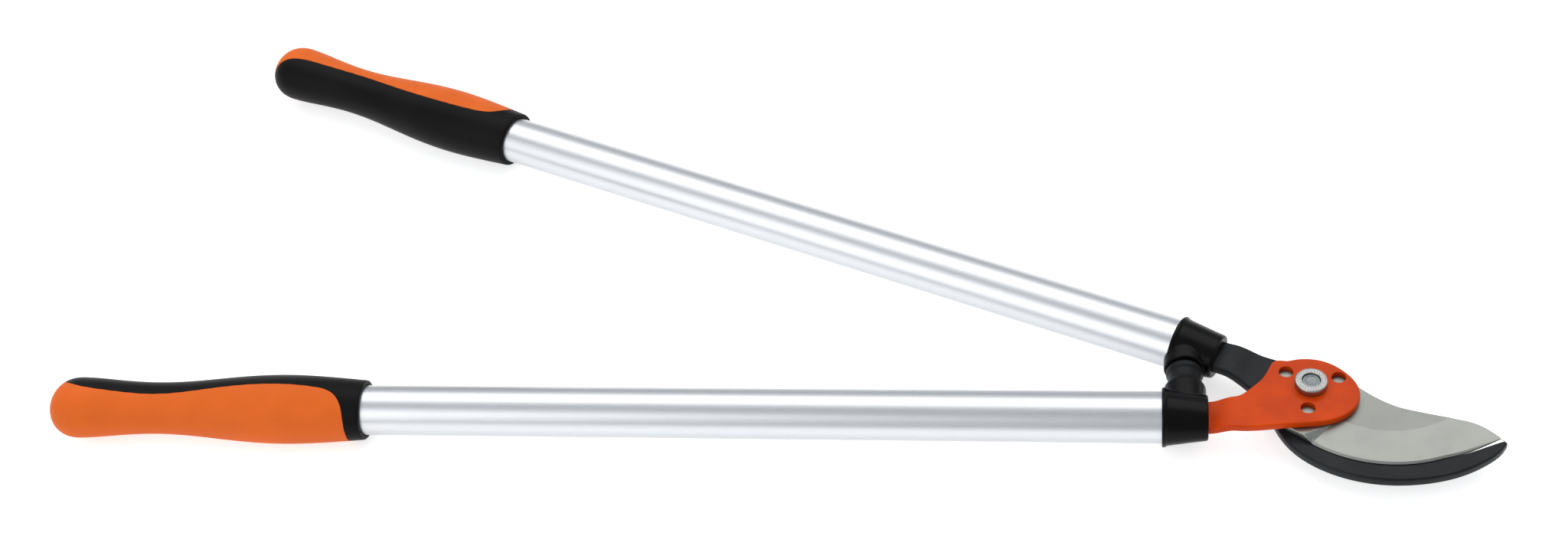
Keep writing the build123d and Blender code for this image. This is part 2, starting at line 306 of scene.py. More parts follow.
@dataclass(frozen=True)
class PowderCoat:
    """Thick satin powder coat with a faint orange peel."""

    name: str = "lever_powder_coat"
    colour: Triple = (0.50, 0.048, 0.0004)
    shade: Triple = (0.42, 0.036, 0.0003)

    def material(self) -> Material:
        """Build the material.

        Returns:
            The material.
        """
        book = NodeBook(self.name)
        place = book.place()
        broad = book.noise(place, 60.0, 2.0)
        peel = book.noise(place, 1500.0, 2.0, 0.4)
        dust = book.noise(place, 4200.0, 1.0)
        colour = book.blend(broad.ramp(0.35, 0.75), self.shade, self.colour)
        speck = dust.ramp(0.72, 0.8)
        colour = book.blend(speck * 0.25, colour, (0.62, 0.11, 0.01))
        roughness = 0.18 + 0.14 * broad + 0.06 * peel
        return book.finish(colour, roughness, Specular_IOR_Level=0.10, Normal=book.bump(peel, 0.00006, 0.5))


@dataclass(frozen=True)
class GroundSteel:
    """Hardened blade steel with a satin face and a bevel ground about one centre."""

    name: str = "blade_satin_steel"
    colour: Triple = (0.225, 0.235, 0.212)
    bevel_colour: Triple = (0.265, 0.275, 0.250)
    centre: Triple = (0.0379, 0.0206, 0.0)
    bevel_radius: float = 0.0465

    def material(self) -> Material:
        """Build the material.

        Returns:
            The material.
        """
        book = NodeBook(self.name)
        place = book.place()
        local = book.turned(place, 0.0, self.centre)
        x, y, z = book.split(local)
        radius = (x * x + y * y) ** 0.5
        bearing = book.calculate("ARCTAN2", y, x)
        ground = radius.ramp(self.bevel_radius - 0.0002, self.bevel_radius + 0.0002)
        rings = {"X": radius * 9000.0, "Y": bearing * 40.0, "Z": z * 900.0}
        across = book.node("ShaderNodeCombineXYZ", {}, rings)
        ring_lines = book.noise(across, 1.0, 4.0, 0.65)
        crosswise = book.stretched(book.turned(place, 0.9), (5200.0, 420.0, 900.0))
        face_lines = book.noise(crosswise, 1.0, 4.0, 0.6)
        lines = book.calculate("ADD", ring_lines * ground, face_lines * (1.0 - ground))
        cloud = book.noise(place, 45.0, 3.0)
        speck = book.noise(place, 2600.0, 1.0).ramp(0.70, 0.78)
        colour = book.blend(ground, self.colour, self.bevel_colour)
        colour = book.blend(lines.ramp(0.3, 0.8) * 0.35, colour, (0.33, 0.335, 0.315))
        colour = book.blend(cloud.ramp(0.45, 0.8) * 0.35, colour, (0.195, 0.203, 0.185))
        colour = book.blend(speck * 0.3, colour, (0.17, 0.17, 0.155))
        roughness = 0.34 + 0.12 * lines + 0.06 * cloud
        return book.finish(colour, roughness, Metallic=1.0, Normal=book.bump(lines, 0.00004, 0.35))


@dataclass(frozen=True)
class ForgedBlack:
    """Forged steel under a thin black coating, with rubbed flecks."""

    name: str = "hook_black_forged"
    colour: Triple = (0.0050, 0.0060, 0.0072)
    rubbed: Triple = (0.040, 0.044, 0.050)

    def material(self) -> Material:
        """Build the material.

        Returns:
            The material.
        """
        book = NodeBook(self.name)
        place = book.place()
        skin = book.noise(place, 420.0, 5.0, 0.6)
        grain = book.noise(place, 2600.0, 2.0, 0.6)
        cloud = book.noise(place, 70.0, 3.0)
        colour = book.blend(cloud.ramp(0.4, 0.75), self.colour, (0.0085, 0.0100, 0.0120))
        colour = book.blend(grain.ramp(0.62, 0.75) * 0.5, colour, self.rubbed)
        roughness = 0.26 + 0.20 * skin + 0.06 * grain
        relief = book.bump(skin * 0.7 + grain * 0.3, 0.00030, 0.7)
        return book.finish(colour, roughness, Specular_IOR_Level=0.16, Normal=relief)


@dataclass(frozen=True)
class BareEdge:
    """Freshly ground steel along the mouth of the hook."""

    name: str = "hook_ground_edge"
    colour: Triple = (0.74, 0.74, 0.71)

    def material(self) -> Material:
        """Build the material.

        Returns:
            The material.
        """
        book = NodeBook(self.name)
        lines = book.noise(book.stretched(book.turned(book.place(), -0.35), (300.0, 6000.0, 900.0)), 1.0, 4.0)
        colour = book.blend(lines, self.colour, (0.55, 0.55, 0.53))
        return book.finish(colour, 0.25 + 0.15 * lines, Metallic=1.0, Normal=book.bump(lines, 0.00004, 0.4))


@dataclass(frozen=True)
class Anodised:
    """Drawn aluminium tube, satin anodised, with its fine grain along the handle."""

    name: str
    turn: float
    colour: Triple = (0.62, 0.635, 0.655)

    def material(self) -> Material:
        """Build the material.

        Returns:
            The material.
        """
        book = NodeBook(self.name)
        local = book.turned(book.place(), self.turn)
        drawn = book.noise(book.stretched(local, (90.0, 3400.0, 3400.0)), 1.0, 4.0, 0.65)
        grain = book.noise(book.stretched(local, (1500.0, 3600.0, 3600.0)), 1.0, 2.0, 0.6)
        cloud = book.noise(local, 16.0, 2.0)
        colour = book.blend(grain.ramp(0.35, 0.75) * 0.5, self.colour, (0.54, 0.55, 0.57))
        colour = book.blend(drawn.ramp(0.45, 0.8) * 0.35, colour, (0.72, 0.73, 0.74))
        roughness = 0.27 + 0.10 * drawn + 0.06 * grain + 0.04 * cloud
        relief = book.bump(grain * 0.6 + drawn * 0.4, 0.00005, 0.45)
        return book.finish(colour, roughness, Metallic=1.0, Normal=relief)


@dataclass(frozen=True)
class Moulded:
    """Moulded plastic or rubber with a fine spark-eroded texture."""

    name: str
    colour: Triple
    light: Triple
    roughness: float
    texture_scale: float = 2600.0
    texture_depth: float = 0.00005
    specular: float = 0.3

    def material(self) -> Material:
        """Build the material.

        Returns:
            The material.
        """
        book = NodeBook(self.name)
        place = book.place()
        cells = {"Vector": place, "Scale": self.texture_scale}
        skin = book.node("ShaderNodeTexVoronoi", {"feature": "F1"}, cells, "Distance")
        fine = book.noise(place, self.texture_scale * 0.8, 2.0, 0.6)
        cloud = book.noise(place, 38.0, 3.0)
        colour = book.blend(cloud.ramp(0.35, 0.75), self.colour, self.light)
        roughness = self.roughness + 0.08 * cloud + 0.06 * fine
        relief = book.bump(skin * 0.5 + fine * 0.5, self.texture_depth, 0.5)
        return book.finish(colour, roughness, Specular_IOR_Level=self.specular, Normal=relief)


@dataclass(frozen=True)
class Plated:
    """Plated or turned metal with light handling marks."""

    name: str
    colour: Triple
    roughness: float = 0.24
    mark_depth: float = 0.00006

    def material(self) -> Material:
        """Build the material.

        Returns:
            The material.
        """
        book = NodeBook(self.name)
        place = book.place()
        x, y, z = book.split(place)
        radius = (x * x + y * y) ** 0.5
        rings = book.node("ShaderNodeCombineXYZ", {}, {"X": radius * 5200.0, "Z": z * 5200.0})
        turned = book.noise(rings, 1.0, 3.0)
        spots = book.noise(place, 900.0, 3.0, 0.6)
        colour = book.blend(spots.ramp(0.4, 0.75) * 0.5, self.colour, [0.7 * part for part in self.colour])
        roughness = self.roughness + 0.14 * spots + 0.08 * turned
        relief = book.bump(spots * 0.6 + turned * 0.4, self.mark_depth, 0.5)
        return book.finish(colour, roughness, Metallic=1.0, Normal=relief)


# Curves and meshes


def spline(
    points: Sequence[Sequence[float]],
    start: Sequence[float] | None = None,
    end: Sequence[float] | None = None,
    step: float = 0.8,
) -> Points:
    """Cubic curve through plan points.

    Args:
        points: The points, in millimetres.
        start: Direction at the first point, if it is fixed.
        end: Direction at the last point, if it is fixed.
        step: Spacing of the samples.

    Returns:
        Samples from the first point to the last.
    """
    knots = np.asarray(points, float)
    spans = np.linalg.norm(np.diff(knots, axis=0), axis=1)
    slopes = np.diff(knots, axis=0) / spans[:, None]
    count = len(knots)
    system = np.zeros((count, count))
    right = np.zeros((count, 2))
    for i in range(1, count - 1):
        system[i, i - 1 : i + 2] = (spans[i], 2 * (spans[i - 1] + spans[i]), spans[i - 1])
        right[i] = 3 * (spans[i] * slopes[i - 1] + spans[i - 1] * slopes[i])
    for row, near, fixed, slope in ((0, 1, start, slopes[0]), (count - 1, count - 2, end, slopes[-1])):
        if fixed is None:
            system[row, row], system[row, near] = 2, 1
            right[row] = 3 * slope
        else:
            system[row, row] = 1
            right[row] = np.asarray(fixed, float) / np.linalg.norm(fixed)
    tangents = np.linalg.solve(system, right)
    samples = []
    for i, span in enumerate(spans):
        steps = max(2, round(span / step))
        t = (np.arange(steps) / steps)[:, None]
        samples.append(
            (2 * t**3 - 3 * t**2 + 1) * knots[i]
            + (t**3 - 2 * t**2 + t) * span * tangents[i]
            + (3 * t**2 - 2 * t**3) * knots[i + 1]
            + (t**3 - t**2) * span * tangents[i + 1]
        )
    return np.vstack([*samples, knots[-1:]])


def line(first: Sequence[float], last: Sequence[float], step: float = 1.5) -> Points:
    """Evenly spaced points of a straight run."""
    steps = max(1, round(math.dist(first, last) / step))
    return np.linspace(first, last, steps + 1)


def arc(centre: Sequence[float], radius: float, first: float, last: float, step: float = 0.8) -> Points:
    """Points of an arc between two bearings in radians.

    Args:
        centre: Its centre.
        radius: Its radius.
        first: Bearing of the first point.
        last: Bearing of the last point.
        step: Spacing of the points.

    Returns:
        The points.
    """
    steps = max(2, round(abs(last - first) * radius / step))
    bearings = np.linspace(first, last, steps + 1)
    return np.asarray(centre) + radius * np.column_stack((np.cos(bearings), np.sin(bearings)))


def joined(*runs: Points) -> Points:
    """Closed outline from runs that follow each other, without doubled points, anticlockwise.

    Args:
        runs: The runs in order.

    Returns:
        The outline.
    """
    outline = np.vstack(runs)
    keep = np.linalg.norm(outline - np.roll(outline, 1, axis=0), axis=1) > 1e-4
    outline = outline[keep]
    following = np.roll(outline, -1, axis=0)
    area = np.sum(outline[:, 0] * following[:, 1] - following[:, 0] * outline[:, 1])
    return outline if area > 0 else outline[::-1]


def inset(outline: Points, distance: Union[float, np.ndarray]) -> Points:
    """Move each point of a closed outline to its left by a distance.

    Args:
        outline: The outline.
        distance: One distance, or one for each point.

    Returns:
        The moved points.
    """
    run = np.roll(outline, -1, axis=0) - np.roll(outline, 1, axis=0)
    run /= np.linalg.norm(run, axis=1)[:, None]
    return outline + np.column_stack((-run[:, 1], run[:, 0])) * np.reshape(distance, (-1, 1))


def inside(points: Points, outline: Points) -> np.ndarray:
    """Whether each point lies inside a closed outline.

    Args:
        points: The points.
        outline: The outline.

    Returns:
        True or false for each point.
    """
    x, y = points[:, :1], points[:, 1:2]
    x0, y0 = outline[:, 0], outline[:, 1]
    x1, y1 = np.roll(x0, -1), np.roll(y0, -1)
    crosses = (y0 > y) != (y1 > y)
    rise = np.where(np.abs(y1 - y0) < 1e-12, 1e-12, y1 - y0)
    left = x < x0 + (y - y0) * (x1 - x0) / rise
    return (crosses & left).sum(axis=1) % 2 == 1


def gap_to(points: Points, others: Points) -> np.ndarray:
    """Distance from each point to the nearest of the others."""
    return np.sqrt(((points[:, None, :] - others[None, :, :]) ** 2).sum(-1)).min(1)


def smooth_step(value: np.ndarray, low: float, high: float) -> np.ndarray:
    """Smooth step from 0 at low to 1 at high."""
    share = np.clip((value - low) / (high - low), 0, 1)
    return share * share * (3 - 2 * share)


@dataclass
class Shape:
    """Points in millimetres with faces, sharp edges and a material number for each face."""

    points: Points
    faces: Faces
    sharp: list[tuple[int, int]] = field(default_factory=list)
    numbers: list[int] = field(default_factory=list)

    def with_shape(self, other: "Shape") -> "Shape":
        """Both shapes as one, with the first one's sharp edges.

        Args:
            other: The shape that is added.

        Returns:
            The joined shape.
        """
        shift = len(self.points)
        faces = self.faces + [tuple(i + shift for i in face) for face in other.faces]
        return Shape(np.vstack((self.points, other.points)), faces, self.sharp)

    def mesh(self, name: str, crease: float = 35.0) -> Mesh:
        """Make the mesh, with its faces outwards.

        Args:
            name: The mesh's name.
            crease: Angle in degrees past which an edge shows as sharp.

        Returns:
            The mesh, in metres.
        """
        mesh = bpy.data.meshes.new(name)
        mesh.from_pydata((self.points * MM).tolist(), [], self.faces)
        if self.numbers:
            mesh.polygons.foreach_set("material_index", self.numbers)
        work = bmesh.new()
        work.from_mesh(mesh)
        bmesh.ops.recalc_face_normals(work, faces=work.faces)
        work.to_mesh(mesh)
        work.free()
        mesh.shade_smooth()
        mesh.set_sharp_from_angle(angle=math.radians(crease))
        if self.sharp:
            wanted = {frozenset(pair) for pair in self.sharp}
            for edge in mesh.edges:
                if frozenset(edge.vertices) in wanted:
                    edge.use_edge_sharp = True
        return mesh


def loft(rings: Sequence[Points], closed: bool = False) -> Shape:
    """Skin through rings of equally many points.

    Args:
        rings: The rings in order.
        closed: Whether the last ring joins the first; otherwise both ends are capped.

    Returns:
        A closed shape.
    """
    count = len(rings[0])
    points = np.vstack(rings)
    faces: Faces = []
    last = len(rings) if closed else len(rings) - 1
    for i in range(last):
        a, b = i * count, (i + 1) % len(rings) * count
        for j in range(count):
            k = (j + 1) % count
            faces.append((a + j, a + k, b + k, b + j))
    if not closed:
        caps = np.array([rings[0].mean(0), rings[-1].mean(0)])
        first_cap, last_cap, end = len(points), len(points) + 1, (len(rings) - 1) * count
        points = np.vstack((points, caps))
        for j in range(count):
            k = (j + 1) % count
            faces.append((first_cap, k, j))
            faces.append((last_cap, end + j, end + k))
    return Shape(points, faces)


def lathe(
    profile: Sequence[Sequence[float]],
    centre: Sequence[float],
    along: Sequence[float] = (0, 0, 1),
    closed: bool = False,
    segments: int = 96,
) -> Shape:
    """Turned shape from (radius, position) pairs.

    Args:
        profile: Radius and position along the axis, in order.
        centre: Point on the axis that positions are counted from.
        along: Direction of the axis.
        closed: Whether the profile closes on itself, as on a ring.
        segments: Number of points round the axis.

    Returns:
        A closed shape.
    """
    axis = np.asarray(along, float)
    side = np.cross(axis, (0, 0, 1) if abs(axis[2]) < 0.5 else (1, 0, 0))
    side /= np.linalg.norm(side)
    other = np.cross(axis, side)
    turn = np.linspace(0, 2 * math.pi, segments, endpoint=False)[:, None]
    spokes = np.cos(turn) * side + np.sin(turn) * other
    return loft([np.asarray(centre) + r * spokes + p * axis for r, p in profile], closed)


@dataclass
class Plate:
    """Flat or bent plate with rounded rims, holes and ridge lines."""

    outline: Points
    low: Heights
    high: Heights
    holes: list[Points] = field(default_factory=list)
    ridges: list[Points] = field(default_factory=list)
    rounding: float = 0.9
    hole_rounding: float = 0.3
    grid: float = 2.0
    support: float = 0.3

    def _rows(self, loop: Points, rounding: float) -> list[Points]:
        """Rows of one rim from the lower face to the upper one.

        Args:
            loop: The rim in plan.
            rounding: Radius of the rim's edges.

        Returns:
            The rows.
        """
        thickness = self.high(loop) - self.low(loop)
        radius = np.minimum(rounding, 0.42 * thickness)
        bends = [math.radians(angle) for angle in (0, 22.5, 45, 67.5, 90)]
        rows = []
        for level, sign, angles in ((self.low, 1, bends), (self.high, -1, bends[::-1])):
            part = []
            for angle in angles:
                plan = inset(loop, radius * (1 - math.sin(angle)))
                height = level(plan) + sign * radius * (1 - math.cos(angle))
                part.append(np.column_stack((plan, height)))
            flat = inset(loop, radius + np.minimum(self.support, radius))
            face = np.column_stack((flat, level(flat)))
            rows += [face, *part] if sign > 0 else [*part, face]
        return rows

    def _filling(self, rims: list[Points]) -> tuple[Points, list[tuple[int, int]], Faces]:
        """Triangles that fill a face between its rims, with the points inside it.

        Args:
            rims: The rims in plan, outline first.

        Returns:
            The inner points, the ridge edges and the triangles, numbered after the rims.
        """
        border = np.vstack(rims)
        edges, start = [], 0
        for rim in rims:
            count = len(rim)
            edges += [(start + i, start + (i + 1) % count) for i in range(count)]
            start += count
        extra, ridge_edges = [], []
        for ridge in self.ridges:
            keep = inside(ridge, rims[0]) & (gap_to(ridge, border) > 0.25)
            run = ridge[keep]
            ridge_edges += [(start + i, start + i + 1) for i in range(len(run) - 1)]
            start += len(run)
            extra.append(run)
        fixed = np.vstack([border, *extra])
        low, high = border.min(0), border.max(0)
        xs = np.arange(low[0], high[0], self.grid)
        ys = np.arange(low[1], high[1], self.grid * 0.866)
        field_points = np.array([(x + (j % 2) * self.grid / 2, y) for j, y in enumerate(ys) for x in xs])
        keep = inside(field_points, rims[0])
        for hole in rims[1:]:
            keep &= ~inside(field_points, hole)
        field_points = field_points[keep]
        field_points = field_points[gap_to(field_points, fixed) > 0.6 * self.grid]
        every = np.vstack((fixed, field_points))
        result = delaunay_2d_cdt([Vector(p) for p in every], edges + ridge_edges, [], 0, 1e-7, True)
        names = [group[0] if group else -1 for group in result[3]]
        triangles = np.array([[names[i] for i in face] for face in result[2]])
        triangles = triangles[(triangles >= 0).all(1)]
        middles = every[triangles].mean(1)
        wanted = inside(middles, rims[0])
        for hole in rims[1:]:
            wanted &= ~inside(middles, hole)
        return every[len(border) :], ridge_edges, [tuple(t) for t in triangles[wanted].tolist()]

    def shape(self) -> Shape:
        """The plate as a closed shape.

        Returns:
            The shape.
        """
        loops = [(self.outline, self.rounding)] + [(hole, self.hole_rounding) for hole in self.holes]
        stacks = [self._rows(loop, rounding) for loop, rounding in loops]
        rims = [rows[0][:, :2] for rows in stacks]
        inner, ridge_edges, triangles = self._filling(rims)
        points: list[Points] = []
        faces: Faces = []
        bottom_ids: list[int] = []
        top_ids: list[int] = []
        start = 0
        for rows in stacks:
            count = len(rows[0])
            points += rows
            for i in range(len(rows) - 1):
                a, b = start + i * count, start + (i + 1) * count
                faces += [(a + j, a + (j + 1) % count, b + (j + 1) % count, b + j) for j in range(count)]
            bottom_ids += range(start, start + count)
            top_ids += range(start + (len(rows) - 1) * count, start + len(rows) * count)
            start += len(rows) * count
        bottom_ids += range(start, start + len(inner))
        top_ids += range(start + len(inner), start + 2 * len(inner))
        points.append(np.column_stack((inner, self.low(inner))))
        points.append(np.column_stack((inner, self.high(inner))))
        faces += [(bottom_ids[c], bottom_ids[b], bottom_ids[a]) for a, b, c in triangles]
        faces += [(top_ids[a], top_ids[b], top_ids[c]) for a, b, c in triangles]
        return Shape(np.vstack(points), faces, [(top_ids[a], top_ids[b]) for a, b in ridge_edges])


def piece(
    name: str,
    mesh: Mesh,
    materials: Sequence[Material],
    body: str,
    nodes: Sequence[str],
) -> Object:
    """Put a finished mesh on its body, in place of its CAD nodes.

    Args:
        name: The piece's name.
        mesh: The mesh, in metres, in the frame's own place.
        materials: The materials in the order of the mesh's material numbers.
        body: The CAD body it rides on.
        nodes: The CAD nodes that it stands for.

    Returns:
        The object.
    """
    for material in materials:
        mesh.materials.append(material)
    made = linked(name, mesh)
    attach(made, body)
    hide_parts(*nodes)
    log.info("%s: %d faces on %s", name, len(mesh.polygons), body)
    return made


def dress(node: str, material: Material) -> None:
    """Give a CAD node that stays a material.

    Args:
        node: The node's name.
        material: The material.
    """
    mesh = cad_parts[node].data
    mesh.materials.clear()
    mesh.materials.append(material)
    log.info("%s: kept as it is in the frame", node)


def worked(shape: Shape, name: str, steps: Callable[[Object], None]) -> Mesh:
    """Run modifiers over a shape and return the plain result.

    Args:
        shape: The shape to start from.
        name: Name of the mesh.
        steps: Adds the modifiers to the object it is given.

    Returns:
        The mesh after the modifiers.
    """
    start = linked(name, shape.mesh(name))
    steps(start)
    graph = bpy.context.evaluated_depsgraph_get()
    result = bpy.data.meshes.new_from_object(start.evaluated_get(graph))
    start.modifiers.clear()
    bpy.data.objects.remove(start)
    result.name = name
    result.materials.clear()
    return result


def shape_of(mesh: Mesh) -> Shape:
    """A mesh's points, in millimetres, and faces.

    Args:
        mesh: The mesh, in metres.

    Returns:
        The shape.
    """
    points = np.empty(len(mesh.vertices) * 3, np.float32)
    mesh.vertices.foreach_get("co", points)
    return Shape(points.reshape(-1, 3).astype(float) / MM, [tuple(face.vertices) for face in mesh.polygons])


# Repeated details, made with Geometry Nodes


class StudRing:
    """Low domed studs on a circle round the pivot axis."""

    LENGTHS = ("Ring Radius", "First Angle", "Height", "Stud Radius", "Top Radius", "Stud Height")

    def __init__(self, name: str, material: Material) -> None:
        """Build the node group.

        Args:
            name: The group's name.
            material: The material that the studs get.
        """
        self.name = name
        self.group = bpy.data.node_groups.new(name, "GeometryNodeTree")
        inputs = {"Count": "NodeSocketInt", **dict.fromkeys(self.LENGTHS, "NodeSocketFloat")}
        self.sockets = {
            label: self.group.interface.new_socket(label, in_out="INPUT", socket_type=kind).identifier
            for label, kind in inputs.items()
        }
        self.group.interface.new_socket("Geometry", in_out="OUTPUT", socket_type="NodeSocketGeometry")
        nodes, links = self.group.nodes, self.group.links
        source = nodes.new("NodeGroupInput").outputs
        circle = nodes.new("GeometryNodeMeshCircle")
        links.new(source["Count"], circle.inputs["Vertices"])
        links.new(source["Ring Radius"], circle.inputs["Radius"])
        turn = nodes.new("ShaderNodeCombineXYZ")
        links.new(source["First Angle"], turn.inputs["Z"])
        lift = nodes.new("ShaderNodeCombineXYZ")
        links.new(source["Height"], lift.inputs["Z"])
        placed = nodes.new("GeometryNodeTransform")
        links.new(circle.outputs[0], placed.inputs["Geometry"])
        links.new(turn.outputs[0], placed.inputs["Rotation"])
        links.new(lift.outputs[0], placed.inputs["Translation"])
        stud = nodes.new("GeometryNodeMeshCone")
        stud.inputs["Vertices"].default_value = 40
        links.new(source["Stud Radius"], stud.inputs["Radius Bottom"])
        links.new(source["Top Radius"], stud.inputs["Radius Top"])
        links.new(source["Stud Height"], stud.inputs["Depth"])
        copies = nodes.new("GeometryNodeInstanceOnPoints")
        links.new(placed.outputs[0], copies.inputs["Points"])
        links.new(stud.outputs["Mesh"], copies.inputs["Instance"])
        real = nodes.new("GeometryNodeRealizeInstances")
        links.new(copies.outputs[0], real.inputs[0])
        painted = nodes.new("GeometryNodeSetMaterial")
        painted.inputs["Material"].default_value = material
        links.new(real.outputs[0], painted.inputs["Geometry"])
        links.new(painted.outputs[0], nodes.new("NodeGroupOutput").inputs[0])

    def shape(self, **sizes: float) -> Shape:
        """Evaluate the studs.

        Args:
            sizes: The inputs by name, with underscores for spaces, lengths in metres.

        Returns:
            The studs as a shape.
        """
        holder = linked(self.name, bpy.data.meshes.new(self.name))
        modifier = holder.modifiers.new(self.name, "NODES")
        modifier.node_group = self.group
        for label, value in sizes.items():
            modifier[self.sockets[label.replace("_", " ")]] = value
        graph = bpy.context.evaluated_depsgraph_get()
        mesh = bpy.data.meshes.new_from_object(holder.evaluated_get(graph))
        made = shape_of(mesh)
        bpy.data.objects.remove(holder)
        return made


# The handles


class Side(Enum):
    """The two sides of the tool."""

    LEVER = "lever"
    HOOK = "hook"


@dataclass(frozen=True)
class HandleLine:
    """Axis of one handle, turned by radians, with places counted from the pivot."""

    side: Side
    turn: float
    offset: float

    @property
    def body(self) -> str:
        """The CAD body of this side."""
        return LEVER_BODY if self.side is Side.LEVER else HOOK_BODY

    @property
    def along(self) -> np.ndarray:
        """Direction away from the pivot."""
        return np.array((-math.cos(self.turn), math.sin(self.turn), 0.0))

    @property
    def outward(self) -> np.ndarray:
        """Direction away from the other handle."""
        sign = -1.0 if self.side is Side.LEVER else 1.0
        return sign * np.array((math.sin(self.turn), math.cos(self.turn), 0.0))

    def named(self, part: str) -> str:
        """Name of a part on this side."""
        return f"{self.side.value}_{part}"

    def at(self, distance: Values, out: Values, up: Values) -> Points:
        """Points from their distance, outward offset and height about the handle axis.

        Args:
            distance: Distance along the handle.
            out: Offset away from the other handle.
            up: Height above the axis.

        Returns:
            The points.
        """
        distance, out, up = np.broadcast_arrays(distance, out, up)
        origin = self.offset * self.outward + np.array((0, 0, AXIS_HEIGHT))
        return (
            origin
            + distance[..., None] * self.along
            + out[..., None] * self.outward
            + up[..., None] * np.array((0, 0, 1.0))
        )

    def ring(self, distance: float, half_width: float, half_depth: float, count: int = 128) -> Points:
        """Oval ring across the handle."""
        turn = np.linspace(0, 2 * math.pi, count, endpoint=False)
        return self.at(distance, half_width * np.cos(turn), half_depth * np.sin(turn))


LEVER_LINE = HandleLine(Side.LEVER, 0.0, 16.6)
HOOK_LINE = HandleLine(Side.HOOK, math.radians(23.0), 5.3)


@dataclass
class Tube:
    """Oval tube from inside the ferrule to inside the grip."""

    line: HandleLine
    start: float = TUBE_START
    end: float = 560.2
    wall: float = 1.5

    def build(self, material: Material) -> Object:
        """Make the tube.

        Args:
            material: The anodised finish.

        Returns:
            The piece.
        """
        half_depth = TUBE_HALF_WIDTH * OVAL_SHARE
        stations = np.linspace(self.start, self.end, 40)
        outer = [self.line.ring(s, TUBE_HALF_WIDTH, half_depth) for s in stations]
        bore = TUBE_HALF_WIDTH - self.wall, half_depth - self.wall
        inner = [self.line.ring(s, *bore) for s in stations[::-1]]
        name = self.line.named("tube")
        mesh = loft(outer + inner, closed=True).mesh(f"{name}_skin")
        return piece(f"{name}_drawn", mesh, [material], self.line.body, [name])


